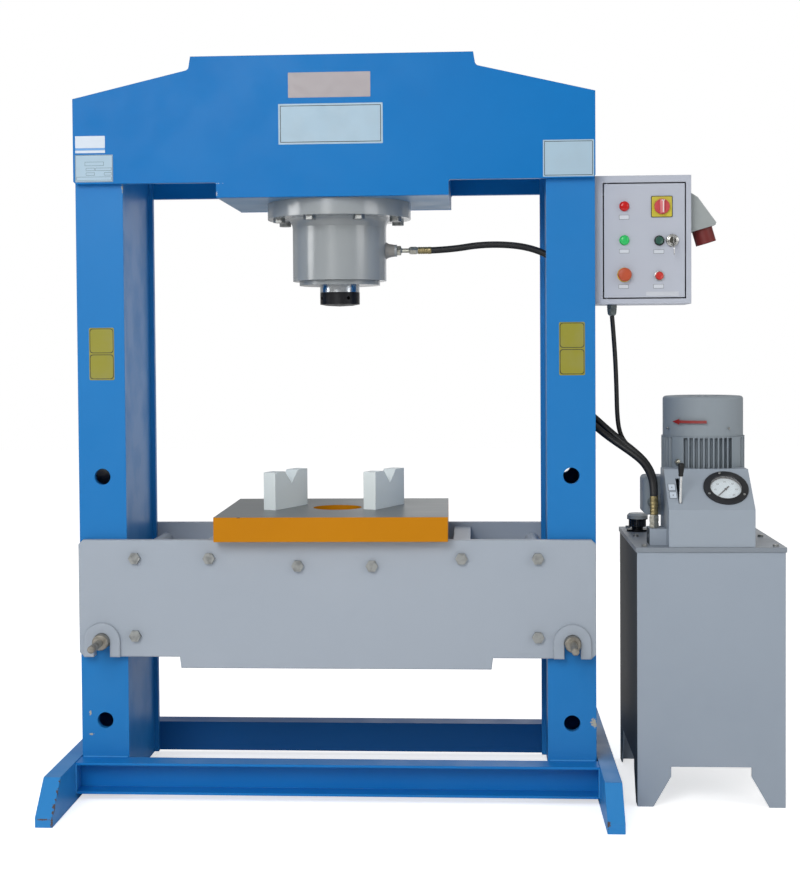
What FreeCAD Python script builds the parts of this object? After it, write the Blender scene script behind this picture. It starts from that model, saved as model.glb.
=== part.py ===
import FreeCAD, Part
import math
import os
import Sketcher

# Hydraulic press with two columns, a height-adjustable bed on pins, a
# flange-mounted cylinder in the head and a pump station beside the frame.
# Millimetres, +Z up. The working frame has X = 0 and Y = 0 on the axis of the
# cylinder and Z = 0 on the floor; every sub-part is placed from there so that
# the origin lies under the middle of the whole object.

SIZES = {
    # head: two cut plates, with the plate that carries the cylinder between them
    "head_top_height": 2100,
    "head_half_width": 734,
    "head_thickness": 22,
    "crown_half_width": 397,
    "crown_foot_half_width": 403,
    "crown_foot_height": 2063,
    "shoulder_height": 1986.5,
    "head_underside": 1747,
    "head_corner": 7,
    "drop_half_width": 327,
    "drop_underside": 1704,
    "drop_corner": 6,
    "crown_fillet": 12,
    "rib_thickness": 20,
    "rib_height": 300,
    "rib_hole_rise": 218,
    # columns: two flange plates and two set-in webs
    "opening_half_width": 598,
    "column_width": 136,
    "column_depth": 420,
    "column_plate": 20,
    "column_bottom": 20,
    "column_top": 1975,
    "web_setback": 13,
    "web_thickness": 10,
    "pin_hole": 46,
    "first_hole_height": 216.5,
    "hole_pitch": 233.2,
    "hose_hole": 44,
    "lower_entry_drop": 18,
    "upper_entry_rise": 134,
    "upper_entry_y": 20,
    "hose_exit_height": 1083,
    "hose_exit_y": 75,
    "hose_exit_length": 90,
    "hose_exit_rise": 72,
    # base: outward-facing channels between two bar feet
    "rail_depth": 64,
    "rail_bottom": 21,
    "rail_height": 89,
    "rail_wall": 7,
    "foot_width": 47,
    "foot_gap": 4,
    "foot_length": 1030,
    "foot_height": 112,
    "foot_flat_length": 856,
    "foot_toe_height": 27,
    # bed
    "bed_half_width": 732,
    "bed_thickness": 22,
    "bed_running_gap": 2,
    "bed_top": 738,
    "bed_end_bottom": 405,
    "bed_middle_bottom": 373,
    "bed_step_half_width": 444,
    "bed_step_slope": 4,
    "bed_corner": 12,
    "notch_play": 0.75,
    "saddle_width": 29,
    "saddle_height": 9,
    "spacer_diameter": 40,
    "bar_width": 50,
    "bar_height": 78,
    "bar_setdown": 13,
    "bolt_diameter": 20,
    "bolt_flats": 30,
    "bolt_head": 12.5,
    "bolt_play": 0.5,
    "bolt_outer_x": 570,
    "bolt_middle_x": 357,
    "bolt_inner_x": 105,
    "bolt_upper_height": 686,
    "bolt_inner_height": 665,
    "bolt_lower_height": 465,
    # pins
    "pin_diameter": 45,
    "pin_front_overhang": 34,
    "pin_rear_overhang": 8,
    "pin_grip_diameter": 21,
    "pin_grip_length": 100,
    "pin_chamfer": 3,
    # table and V blocks
    "table_width": 656,
    "table_depth": 544,
    "table_thickness": 69,
    "table_bore": 144,
    "table_shift_x": 11.7,
    "table_shift_y": 7,
    "table_turn": 0.8,
    "block_length": 185,
    "block_width": 40,
    "block_height": 110,
    "block_groove_width": 76,
    "block_turn": 66,
    "left_block_x": 166,
    "left_block_y": 1,
    "right_block_x": 126,
    "right_block_y": 11.5,
    # cylinder
    "flange_diameter": 422,
    "flange_thickness": 46,
    "flange_seam": 1,
    "flange_bolt_circle": 367,
    "flange_bolt_count": 8,
    "barrel_diameter": 276,
    "barrel_bottom": 1476,
    "barrel_bore": 210,
    "bore_top": 1940,
    "barrel_cap": 50,
    "plate_play": 0.6,
    "gland_lip_diameter": 238,
    "gland_lip": 12.5,
    "gland_depth": 72,
    "stop_sleeve_diameter": 184,
    "stop_sleeve_length": 36.5,
    "running_play": 0.3,
    "ram_diameter": 117,
    "piston_thickness": 50,
    "piston_top_gap": 5,
    "ram_show": 20.5,
    "ram_nose_diameter": 70,
    "ram_nose_length": 25,
    "cap_length": 35,
    "cap_crown": 6,
    "cap_crown_flat": 0.7,
    "cap_crown_fall": 0.6,
    "cap_hole_count": 4,
    "cap_hole": 10,
    "cap_hole_depth": 14,
    "port_diameter": 35,
    "port_length": 32,
    "port_bore": 12,
    "lower_port_height": 1565,
    "upper_port_drop": 25,
    # hose ends
    "adapter_hex_flats": 30,
    "adapter_hex_length": 12,
    "adapter_neck_diameter": 13,
    "adapter_neck_length": 25,
    "swivel_diameter": 25,
    "swivel_length": 25,
    "ferrule_diameter": 21,
    "ferrule_length": 39,
    "long_ferrule": 52,
    "hose_diameter": 20,
    # switchbox on the right column
    "box_width": 271,
    "box_height": 360,
    "box_depth": 150,
    "box_bottom": 1397,
    "box_front_y": 172,
    "box_wall": 3,
    "door_left_margin": 28,
    "door_right_margin": 18,
    "door_bottom_margin": 18,
    "door_top_margin": 23,
    "door_gap": 3.5,
    "hinge_inset": 8,
    "hinge_setback": 9,
    "hinge_pin": 5,
    "hinge_post": 8,
    "hinge_lug": 16,
    "hinge_lug_height": 8,
    "hinge_play": 0.3,
    "door_sheet": 2,
    "door_proud": 1,
    "button_diameter": 22,
    "button_height": 7,
    "button_rest_gap": 4.5,
    "bezel_diameter": 28,
    "bezel_thickness": 6,
    "lamp_height": 11,
    "control_edge": 3,
    "stem_diameter": 12,
    "stem_length": 38,
    "stop_head_diameter": 39,
    "stop_head_height": 14,
    "stop_head_gap": 8,
    "stop_head_edge": 5,
    "stop_ring_diameter": 40,
    "plate_thickness": 2.5,
    "isolator_plate": 60,
    "isolator_diameter": 40,
    "isolator_height": 7,
    "isolator_grip_width": 11,
    "isolator_grip_height": 10,
    "isolator_gap": 3,
    "lock_diameter": 36,
    "lock_height": 12,
    "lock_floor": 2,
    "key_rest_gap": 1,
    "lock_barrel": 15,
    "key_bow": 24,
    "key_blade": 8,
    "key_thickness": 2.4,
    "control_left_x": 818.5,
    "control_right_x": 915.5,
    "lock_x": 952,
    "lamp_upper_height": 1671,
    "lamp_lower_height": 1576,
    "emergency_height": 1479,
    "stop_height": 1475,
    "start_height": 1574,
    "isolator_level": 1669,
    "isolator_x": 923,
    "gear_plate_width": 200,
    "gear_plate": 2,
    "gear_margin": 40,
    "gear_offset": 70,
    "gear_upper": 170,
    "gear_middle": 105,
    "gear_lower": 55,
    "contactor_width": 45,
    "contactor_depth": 70,
    "contactor_height": 75,
    "relay_depth": 60,
    "relay_height": 62,
    "transformer_offset": 10,
    "transformer_width": 62,
    "strip_width": 160,
    "strip_depth": 35,
    "strip_height": 38,
    # supply inlet on the side of the box
    "inlet_top": 1713,
    "inlet_bottom": 1598,
    "inlet_reach": 75,
    "inlet_knee_x": 23,
    "inlet_knee_drop": 15,
    "inlet_corner_height": 1626,
    "inlet_lip_height": 1619,
    "inlet_lip_setback": 3,
    "inlet_width": 78,
    "inlet_socket_x": 40,
    "collar_diameter": 58,
    "collar_bore": 50,
    "collar_length": 42,
    "collar_floor": 6,
    "contact_diameter": 5,
    "contact_circle": 30,
    "contact_count": 5,
    "contact_length": 26,
    # control cable
    "cable_diameter": 13,
    "gland_diameter": 28,
    "gland_hex_length": 10,
    "gland_cone_step": 2,
    "gland_cone_length": 21,
    "cable_x": 790,
    "cable_y": 100,
    "terminal_entry_x": 908,
    "terminal_entry_height": 105,
    # tank of the pump station
    "tank_left_x": 842,
    "tank_width": 406,
    "tank_front_y": 268,
    "tank_depth": 498,
    "tank_top": 708.5,
    "tank_wall": 4,
    "tank_floor": 125,
    "leg_cut_top": 112,
    "leg_top_width": 93,
    "leg_cut_wall": 27,
    "leg_foot": 44,
    "lid_thickness": 13.5,
    "lid_overhang": 3,
    "lid_screw_diameter": 16,
    "lid_screw_height": 6,
    "lid_screw_inset": 26,
    # console over the lever valve
    "console_left_x": 930,
    "console_width": 236,
    "console_front_y": 267,
    "console_bend_height": 104,
    "console_top_height": 207.5,
    "console_slope_depth": 117,
    "console_back_y": 75,
    "console_sheet": 2,
    "slot_width": 10,
    "slot_start": 24,
    "slot_end": 120,
    "gauge_x": 1095,
    "gauge_up": 81,
    "gauge_flange_diameter": 125,
    "gauge_flange": 6,
    "gauge_case_diameter": 104,
    "gauge_case_depth": 40,
    "gauge_sink": 12,
    "gauge_dial_diameter": 86,
    "dial_thickness": 1,
    "glass_thickness": 2,
    "glass_height": 2,
    "needle_length": 34,
    "needle_tail": 16,
    "needle_width": 3,
    # lever valve
    "lever_x": 964,
    "lever_pivot_y": 232.5,
    "lever_pivot_height": 56,
    "valve_front": 15,
    "lever_lean": 10,
    "lever_hub_diameter": 18,
    "lever_hub_width": 14,
    "lever_pin_diameter": 10,
    "lever_rod_diameter": 8,
    "lever_rod_length": 142,
    "knob_length": 37,
    "knob_top_diameter": 20,
    "knob_bottom_diameter": 13,
    "knob_edge": 4,
    "valve_width": 50,
    "valve_depth": 74,
    "valve_height": 88,
    # port block
    "block_port_x": 896,
    "block_port_y": 195,
    "return_port_x": 902,
    "return_port_y": 166,
    "port_block_left_x": 882,
    "port_block_width": 47.5,
    "port_block_front_y": 222,
    "port_block_depth": 76,
    "port_block_height": 46,
    # motor
    "motor_x": 1060,
    "motor_y": -10,
    "motor_diameter": 238,
    "motor_core_diameter": 208,
    "motor_bore": 150,
    "motor_base": 14,
    "motor_room_play": 4,
    "motor_bottom_wall": 20,
    "motor_top_wall": 16,
    "motor_height": 296,
    "spigot_height": 8,
    "fin_count": 9,
    "fin_pitch": 13.8,
    "fin_thickness": 4.5,
    "corner_pad": 68,
    "fan_cover_diameter": 230,
    "fan_cover_height": 115,
    "fan_cover_sheet": 2,
    "fan_cover_fillet": 9,
    "vent_count": 20,
    "vent_inner": 30,
    "vent_outer": 92,
    "vent_width": 7,
    "shaft_diameter": 28,
    "rotor_diameter": 110,
    "rotor_length": 170,
    "rotor_start": 68,
    "stator_play": 0.4,
    "fan_diameter": 190,
    "fan_height": 34,
    "fan_hub_diameter": 56,
    "fan_blades": 8,
    "fan_blade_thickness": 4,
    "fan_clearance": 16,
    "fan_disc": 3,
    "stator_length": 190,
    "end_disc": 3,
    "terminal_box_x": 882,
    "terminal_box_width": 100,
    "terminal_box_bottom": 68,
    "terminal_box_height": 111,
    "terminal_box_round": 14,
    "terminal_pad_inset": 10,
    "lid_shaft_hole": 60,
    "pump_width": 96,
    "pump_height": 110,
    "bell_diameter": 120,
    "bell_height": 90,
    "bell_wall": 14,
    "shaft_below_lid": 70,
    "suction_diameter": 30,
    "suction_length": 240,
    # filler
    "filler_x": 884,
    "filler_y": 118,
    "filler_flange_diameter": 64,
    "filler_flange": 6,
    "filler_neck_diameter": 34,
    "filler_neck_bore": 26,
    "filler_neck_height": 24,
    "filler_rim_diameter": 52,
    "filler_rim_height": 22,
    "filler_rim_gap": 8,
    "filler_knurls": 16,
    "filler_knurl_diameter": 6,
    "filler_top_diameter": 62,
    "filler_top_height": 18,
    "filler_top_round": 6,
}


class Size:
    """A length with the sheet formula that gives it."""

    def __init__(self, value, text):
        self.value = value
        self.text = text

    def __add__(self, other):
        other = size(other)
        return Size(self.value + other.value, f"({self.text} + {other.text})")

    def __radd__(self, other):
        return size(other) + self

    def __sub__(self, other):
        other = size(other)
        return Size(self.value - other.value, f"({self.text} - {other.text})")

    def __rsub__(self, other):
        return size(other) - self

    def __mul__(self, other):
        other = size(other)
        return Size(self.value * other.value, f"({self.text} * {other.text})")

    def __rmul__(self, other):
        return size(other) * self

    def __truediv__(self, other):
        other = size(other)
        return Size(self.value / other.value, f"({self.text} / {other.text})")

    def __rtruediv__(self, other):
        return size(other) / self

    def __neg__(self):
        return Size(-self.value, f"(-1 * {self.text})")


def size(number):
    if isinstance(number, Size):
        return number
    return Size(float(number), f"{number:.9g}")


def cosine(degrees):
    degrees = size(degrees)
    return Size(math.cos(math.radians(degrees.value)), f"cos({degrees.text})")


def sine(degrees):
    degrees = size(degrees)
    return Size(math.sin(math.radians(degrees.value)), f"sin({degrees.text})")


def arctangent(rise, run):
    ratio = rise / run
    return Size(math.degrees(math.atan(ratio.value)), f"(atan({ratio.text}) / 1 deg)")


class Dimensions:
    """The sheet's cells as attributes, each a Size."""


doc = FreeCAD.newDocument("hydraulic_press")
sheet = doc.addObject("Spreadsheet::Sheet", "Dims")
d = Dimensions()
for row, (alias, number) in enumerate(SIZES.items(), start=1):
    sheet.set(f"A{row}", alias)
    sheet.set(f"B{row}", str(number))
    sheet.setAlias(f"B{row}", alias)
    setattr(d, alias, Size(float(number), f"Dims.{alias}"))
doc.recompute()

SUB_PARTS = []
X_AXIS = FreeCAD.Vector(1, 0, 0)
Y_AXIS = FreeCAD.Vector(0, 1, 0)
Z_AXIS = FreeCAD.Vector(0, 0, 1)
# Turns that point a Z-built piece along another direction.
TO_FRONT = (X_AXIS, 90)
TO_BACK = (X_AXIS, -90)
TO_RIGHT = (Y_AXIS, 90)
TO_LEFT = (Y_AXIS, -90)


def place(thing, x=0, y=0, z=0, turn=None):
    """Places an object by formulas; turn is (axis, angle)."""
    if turn:
        axis, angle = turn
        thing.Placement.Rotation = FreeCAD.Rotation(axis, size(angle).value)
        if isinstance(angle, Size):
            thing.setExpression("Placement.Rotation.Angle", angle.text)
    for letter, where in (("x", x), ("y", y), ("z", z)):
        thing.setExpression(f"Placement.Base.{letter}", size(where).text)
    return thing


def add_sub_part(thing, label, x=0, y=0, z=0, turn=None):
    """Names a finished sub-part and moves it into the object's own frame."""
    thing.Label = label
    place(thing, size(x) + centre_shift, y, z, turn)
    SUB_PARTS.append(thing)
    return thing


def origin_feature(body, role):
    return next(item for item in body.Origin.OriginFeatures if item.Role == role)


def new_body(name):
    return doc.addObject("PartDesign::Body", name)


def new_sketch(body, name, plane, offset=0):
    sketch = body.newObject("Sketcher::SketchObject", name)
    sketch.AttachmentSupport = (origin_feature(body, plane), [""])
    sketch.MapMode = "FlatFace"
    sketch.setExpression("AttachmentOffset.Base.z", size(offset).text)
    return sketch


def bind_distance(sketch, kind, element, point, distance):
    rule = Sketcher.Constraint(kind, -1, 1, element, point, size(distance).value)
    number = sketch.addConstraint(rule)
    sketch.setExpression(f"Constraints[{number}]", size(distance).text)


def bind_point(sketch, element, point, across, up):
    bind_distance(sketch, "DistanceX", element, point, across)
    bind_distance(sketch, "DistanceY", element, point, up)


def draw_outline(sketch, points):
    """Closed outline of straight lines whose corners are bound to the sheet."""
    corners = [FreeCAD.Vector(size(a).value, size(b).value, 0) for a, b in points]
    first = sketch.GeometryCount
    count = len(corners)
    for i in range(count):
        line = Part.LineSegment(corners[i], corners[(i + 1) % count])
        sketch.addGeometry(line, False)
    for i in range(count):
        following = first + (i + 1) % count
        sketch.addConstraint(Sketcher.Constraint("Coincident", first + i, 2, following, 1))
    for i in range(count):
        bind_point(sketch, first + i, 1, *points[i])


def draw_circle(sketch, across, up, diameter):
    centre = FreeCAD.Vector(size(across).value, size(up).value, 0)
    circle = Part.Circle(centre, Z_AXIS, size(diameter).value / 2)
    element = sketch.addGeometry(circle, False)
    number = sketch.addConstraint(Sketcher.Constraint("Diameter", element, size(diameter).value))
    sketch.setExpression(f"Constraints[{number}]", size(diameter).text)
    bind_point(sketch, element, 3, across, up)


def rectangle(x0, y0, x1, y1):
    return [(x0, y0), (x1, y0), (x1, y1), (x0, y1)]


def mirrored(half):
    """Outline from its right half, given from the top centre line downwards."""
    left = [(-size(a), b) for a, b in reversed(half) if size(a).value != 0]
    return half + left


def add_pad(body, sketch, length, both_ways=False):
    pad = body.newObject("PartDesign::Pad", sketch.Name + "Pad")
    pad.Profile = sketch
    pad.Midplane = both_ways
    pad.setExpression("Length", size(length).text)
    doc.recompute()
    return pad


def add_pocket(body, sketch, depth=None, reverse=False):
    """Cuts to a depth, or right through both ways, and makes sure that it cut."""
    before = body.Shape.Volume
    pocket = body.newObject("PartDesign::Pocket", sketch.Name + "Pocket")
    pocket.Profile = sketch
    if depth is None:
        pocket.Type = 1
        pocket.Midplane = True
    else:
        pocket.Reversed = reverse
        pocket.setExpression("Length", size(depth).text)
    doc.recompute()
    if not body.Shape.Volume < before - 1:
        raise RuntimeError(f"{pocket.Name} cuts nothing")
    return pocket


def add_fillet(body, radius, chosen, kind="Fillet"):
    """Rounds, or chamfers, the edges of the body that chosen(edge) picks."""
    tip = body.Tip
    names = [f"Edge{i}" for i, edge in enumerate(tip.Shape.Edges, start=1) if chosen(edge)]
    if not names:
        raise RuntimeError(f"{body.Name} has no edge to round")
    feature = body.newObject(f"PartDesign::{kind}", body.Name + kind)
    feature.Base = (tip, names)
    feature.setExpression("Radius" if kind == "Fillet" else "Size", size(radius).text)
    doc.recompute()
    return feature


def add_shell(body, sheet_thickness, open_face):
    """Hollows the body to a sheet and removes the faces that open_face(face) picks."""
    tip = body.Tip
    before = tip.Shape.Volume
    names = [f"Face{i}" for i, face in enumerate(tip.Shape.Faces, start=1) if open_face(face)]
    feature = body.newObject("PartDesign::Thickness", body.Name + "Sheet")
    feature.Base = (tip, names)
    feature.Reversed = True
    feature.setExpression("Value", size(sheet_thickness).text)
    doc.recompute()
    if not feature.Shape.Volume < before:
        raise RuntimeError(f"{feature.Name} hollows nothing")
    return feature


def add_ring_pattern(body, feature, count, angle=360):
    pattern = body.newObject("PartDesign::PolarPattern", feature.Name + "Ring")
    pattern.Originals = [feature]
    pattern.Axis = (origin_feature(body, "Z_Axis"), [""])
    pattern.Angle = angle
    pattern.setExpression("Occurrences", size(count).text)
    body.Tip = pattern
    doc.recompute()
    return pattern


def plate_body(name, plane, outline, thickness, offset=0, both_ways=False):
    body = new_body(name)
    sketch = new_sketch(body, name + "Outline", plane, offset)
    draw_outline(sketch, outline)
    add_pad(body, sketch, thickness, both_ways)
    return body


def turned_body(name, profile):
    """Body turned about Z from a profile of (radius, height) points."""
    body = new_body(name)
    sketch = new_sketch(body, name + "Profile", "XZ_Plane")
    draw_outline(sketch, profile)
    turned = body.newObject("PartDesign::Revolution", name + "Turned")
    turned.Profile = sketch
    turned.ReferenceAxis = (sketch, ["V_Axis"])
    turned.Angle = 360
    doc.recompute()
    return body


def box(name, x, y, z, length, width, height):
    """Box from its lowest corner."""
    block = doc.addObject("Part::Box", name)
    block.setExpression("Length", size(length).text)
    block.setExpression("Width", size(width).text)
    block.setExpression("Height", size(height).text)
    return place(block, x, y, z)


def cylinder(name, diameter, height, x=0, y=0, z=0, turn=None):
    rod = doc.addObject("Part::Cylinder", name)
    rod.setExpression("Radius", (size(diameter) / 2).text)
    rod.setExpression("Height", size(height).text)
    return place(rod, x, y, z, turn)


def cone(name, diameter, end_diameter, height, x=0, y=0, z=0, turn=None):
    taper = doc.addObject("Part::Cone", name)
    taper.setExpression("Radius1", (size(diameter) / 2).text)
    taper.setExpression("Radius2", (size(end_diameter) / 2).text)
    taper.setExpression("Height", size(height).text)
    return place(taper, x, y, z, turn)


HEX_RADIUS_PER_FLATS = 1 / math.sqrt(3)


def hexagon(name, flats, height, x=0, y=0, z=0, turn=None):
    prism = doc.addObject("Part::Prism", name)
    prism.Polygon = 6
    prism.setExpression("Circumradius", (size(flats) * HEX_RADIUS_PER_FLATS).text)
    prism.setExpression("Height", size(height).text)
    return place(prism, x, y, z, turn)


def fuse(name, pieces):
    joined = doc.addObject("Part::MultiFuse", name)
    joined.Shapes = pieces
    joined.Refine = True
    return joined


def cut(name, base, tool):
    result = doc.addObject("Part::Cut", name)
    result.Base = base
    result.Tool = tool
    return result


def group(name, pieces):
    together = doc.addObject("Part::Compound", name)
    together.Links = pieces
    return together


# The origin lies under the middle of the box round the whole object.
foot_outer = d.head_half_width + d.foot_gap + d.foot_width
lid_right_x = d.tank_left_x + d.tank_width + d.lid_overhang
centre_shift = (foot_outer - lid_right_x) / 2

front_face = -d.column_depth / 2
back_face = d.column_depth / 2
column_outer = d.opening_half_width + d.column_width
pin_x = d.opening_half_width + d.column_width / 2
bed_hole_height = d.first_hole_height + d.hole_pitch


# ---------------------------------------------------------------- columns
def make_column(name, side):
    """Box section of two flange plates with the webs set in from their edges."""
    inner = d.opening_half_width
    inner_web = inner + d.web_setback
    outer_web = column_outer - d.web_setback
    web_end = back_face - d.column_plate
    outline = [
        (side * inner, front_face), (side * column_outer, front_face),
        (side * column_outer, -web_end), (side * outer_web, -web_end),
        (side * outer_web, web_end), (side * column_outer, web_end),
        (side * column_outer, back_face), (side * inner, back_face),
        (side * inner, web_end), (side * inner_web, web_end),
        (side * inner_web, -web_end), (side * inner, -web_end),
    ]
    body = new_body(name)
    sketch = new_sketch(body, name + "Section", "XY_Plane", d.column_bottom)
    draw_outline(sketch, outline)
    draw_outline(sketch, rectangle(
        side * (inner_web + d.web_thickness), -web_end,
        side * (outer_web - d.web_thickness), web_end))
    add_pad(body, sketch, d.column_top - d.column_bottom)
    holes = new_sketch(body, name + "PinHoles", "XZ_Plane")
    for k in range(4):
        draw_circle(holes, side * pin_x, d.first_hole_height + k * d.hole_pitch, d.pin_hole)
    add_pocket(body, holes)
    return body


left_column = make_column("LeftColumn", -1)
right_column = make_column("RightColumn", 1)
inner_web_x = d.opening_half_width + d.web_setback
outer_web_x = column_outer - d.web_setback
entry = new_sketch(right_column, "HoseEntry", "YZ_Plane", inner_web_x - 1)
draw_circle(entry, 0, d.lower_port_height - d.lower_entry_drop, d.hose_hole)
draw_circle(entry, d.upper_entry_y, d.head_underside + d.upper_entry_rise, d.hose_hole)
add_pocket(right_column, entry, d.web_thickness + 2, reverse=True)
leaving = new_sketch(right_column, "HoseExit", "YZ_Plane", outer_web_x - d.web_thickness - 1)
draw_outline(leaving, rectangle(
    -d.hose_exit_y - d.hose_exit_length / 2, d.hose_exit_height - d.hose_exit_rise / 2,
    -d.hose_exit_y + d.hose_exit_length / 2, d.hose_exit_height + d.hose_exit_rise / 2))
add_pocket(right_column, leaving, d.web_thickness + 2, reverse=True)
add_sub_part(left_column, "left_column")
add_sub_part(right_column, "right_column")

# ---------------------------------------------------------------- head
head_half = [
    (0, d.head_top_height),
    (d.crown_half_width, d.head_top_height),
    (d.crown_foot_half_width, d.crown_foot_height),
    (d.head_half_width, d.shoulder_height),
    (d.head_half_width, d.head_underside + d.head_corner),
    (d.head_half_width - d.head_corner, d.head_underside),
    (d.drop_half_width, d.head_underside),
    (d.drop_half_width, d.drop_underside),
]


def make_head_plate(name):
    body = plate_body(name, "XZ_Plane", mirrored(head_half), d.head_thickness)

    def at(edge, across, up):
        middle = edge.CenterOfMass
        close = abs(abs(middle.x) - across.value) + abs(middle.z - up.value) < 0.1
        return close and edge.Length < d.head_thickness.value + 1

    add_fillet(body, d.drop_corner, lambda e: at(e, d.drop_half_width, d.head_underside))
    add_fillet(body, d.crown_fillet, lambda e: at(e, d.crown_foot_half_width, d.crown_foot_height))
    return body


add_sub_part(make_head_plate("HeadFront"), "head_front_plate", y=front_face)
add_sub_part(make_head_plate("HeadRear"), "head_rear_plate", y=back_face + d.head_thickness)

plate_thickness = d.head_underside - d.drop_underside
mount_plate = plate_body(
    "CylinderPlate", "XY_Plane",
    rectangle(-d.drop_half_width + 1, front_face, d.drop_half_width - 1, back_face),
    plate_thickness, d.drop_underside)
bore = new_sketch(mount_plate, "BarrelHole", "XY_Plane")
draw_circle(bore, 0, 0, d.barrel_diameter + 2 * d.plate_play)
add_pocket(mount_plate, bore)
first_bolt_angle = 180 / d.flange_bolt_count
bolt_circle_x = d.flange_bolt_circle / 2 * cosine(first_bolt_angle)
bolt_circle_y = d.flange_bolt_circle / 2 * sine(first_bolt_angle)
plate_hole = new_sketch(mount_plate, "PlateBoltHole", "XY_Plane")
draw_circle(plate_hole, bolt_circle_x, bolt_circle_y, d.bolt_diameter + 2 * d.bolt_play)
add_ring_pattern(mount_plate, add_pocket(mount_plate, plate_hole), d.flange_bolt_count)
add_sub_part(mount_plate, "cylinder_plate")

rib_inner = d.drop_half_width - 1 - d.rib_thickness
right_rib = box("HeadRibRight", rib_inner, front_face, d.head_underside,
                d.rib_thickness, d.column_depth, d.rib_height)
rib_hole = cylinder("RibHoseHole", d.hose_hole, d.rib_thickness + 2, rib_inner - 1, 0,
                    d.head_underside + d.rib_hole_rise, TO_RIGHT)
ribs = [
    cut("HeadRibHoled", right_rib, rib_hole),
    box("HeadRibLeft", -rib_inner - d.rib_thickness, front_face, d.head_underside,
        d.rib_thickness, d.column_depth, d.rib_height),
]
add_sub_part(group("HeadRibs", ribs), "head_ribs")

# ---------------------------------------------------------------- base
rail_top = d.rail_bottom + d.rail_height
rail_section = [
    (0, d.rail_bottom), (d.rail_depth, d.rail_bottom),
    (d.rail_depth, d.rail_bottom + d.rail_wall), (d.rail_wall, d.rail_bottom + d.rail_wall),
    (d.rail_wall, rail_top - d.rail_wall), (d.rail_depth, rail_top - d.rail_wall),
    (d.rail_depth, rail_top), (0, rail_top),
]
rail_length = 2 * (d.head_half_width + d.foot_gap)


def make_rail(name):
    return plate_body(name, "YZ_Plane", rail_section, rail_length, both_ways=True)


front_rail = place(make_rail("FrontRail"), y=front_face, turn=(Z_AXIS, 180))
rear_rail = place(make_rail("RearRail"), y=back_face)
add_sub_part(group("BaseRails", [front_rail, rear_rail]), "base_rails")

foot_half = [
    (0, d.foot_height), (d.foot_flat_length / 2, d.foot_height),
    (d.foot_length / 2, d.foot_toe_height), (d.foot_length / 2, 0),
]
for side, start in (("left", -foot_outer), ("right", foot_outer - d.foot_width)):
    foot = plate_body(side.title() + "Foot", "YZ_Plane", mirrored(foot_half), d.foot_width)
    add_sub_part(foot, side + "_foot", x=start)

# ---------------------------------------------------------------- bed
bed_half = [
    (0, d.bed_top),
    (d.bed_half_width - d.bed_corner, d.bed_top),
    (d.bed_half_width, d.bed_top - d.bed_corner),
    (d.bed_half_width, d.bed_end_bottom + d.bed_corner),
    (d.bed_half_width - d.bed_corner, d.bed_end_bottom),
    (d.bed_step_half_width, d.bed_end_bottom),
    (d.bed_step_half_width - d.bed_step_slope, d.bed_middle_bottom),
]
notch_width = d.pin_diameter + 2 * d.notch_play
bed_outside = back_face + d.bed_running_gap + d.bed_thickness


def make_bed_plate(name):
    """Cut plate with a saddle welded round each pin notch and bolt holes."""
    body = plate_body(name, "XZ_Plane", mirrored(bed_half), d.bed_thickness)
    for side in (-1, 1):
        saddle = new_sketch(body, f"{name}Saddle{side + 1}", "XZ_Plane", d.bed_thickness)
        outer = notch_width / 2 + d.saddle_width
        middle = side * pin_x
        draw_saddle(saddle, middle, bed_hole_height, outer, d.bed_end_bottom)
        add_pad(body, saddle, d.saddle_height)
    notches = new_sketch(body, name + "Notches", "XZ_Plane")
    for side in (-1, 1):
        draw_saddle(notches, side * pin_x, bed_hole_height, notch_width / 2, d.bed_end_bottom - 1)
    add_pocket(body, notches)
    holes = new_sketch(body, name + "BoltHoles", "XZ_Plane")
    for x, z in bed_bolt_places():
        draw_circle(holes, x, z, d.bolt_diameter + 2 * d.bolt_play)
    add_pocket(body, holes)
    return body


def draw_saddle(sketch, middle, height, radius, bottom):
    """Arch: a half circle on two straight legs, closed at the bottom."""
    mid, up, rad, low = (size(v).value for v in (middle, height, radius, bottom))
    centre = FreeCAD.Vector(mid, up, 0)
    circle = Part.Circle(centre, Z_AXIS, rad)
    first = sketch.addGeometry(Part.ArcOfCircle(circle, 0, math.pi), False)
    left_top = FreeCAD.Vector(mid - rad, up, 0)
    left_low = FreeCAD.Vector(mid - rad, low, 0)
    right_low = FreeCAD.Vector(mid + rad, low, 0)
    right_top = FreeCAD.Vector(mid + rad, up, 0)
    sketch.addGeometry(Part.LineSegment(left_top, left_low), False)
    sketch.addGeometry(Part.LineSegment(left_low, right_low), False)
    sketch.addGeometry(Part.LineSegment(right_low, right_top), False)
    sketch.addConstraint(Sketcher.Constraint("Coincident", first, 2, first + 1, 1))
    sketch.addConstraint(Sketcher.Constraint("Coincident", first + 1, 2, first + 2, 1))
    sketch.addConstraint(Sketcher.Constraint("Coincident", first + 2, 2, first + 3, 1))
    sketch.addConstraint(Sketcher.Constraint("Coincident", first + 3, 2, first, 1))
    bind_point(sketch, first, 3, middle, height)
    bind_point(sketch, first, 1, size(middle) + radius, height)
    bind_distance(sketch, "DistanceY", first + 1, 1, height)
    bind_point(sketch, first + 2, 1, size(middle) - radius, bottom)
    bind_point(sketch, first + 3, 1, size(middle) + radius, bottom)


def bed_bolt_places():
    upper = ((d.bolt_outer_x, d.bolt_upper_height), (d.bolt_middle_x, d.bolt_upper_height),
             (d.bolt_inner_x, d.bolt_inner_height), (d.bolt_outer_x, d.bolt_lower_height))
    return [(side * x, z) for side in (-1, 1) for x, z in upper]


bed_front = make_bed_plate("BedFront")
bed_rear = make_bed_plate("BedRear")
add_sub_part(bed_front, "bed_front_plate", y=front_face - d.bed_running_gap)
add_sub_part(bed_rear, "bed_rear_plate", y=back_face + d.bed_running_gap, turn=(Z_AXIS, 180))

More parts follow.
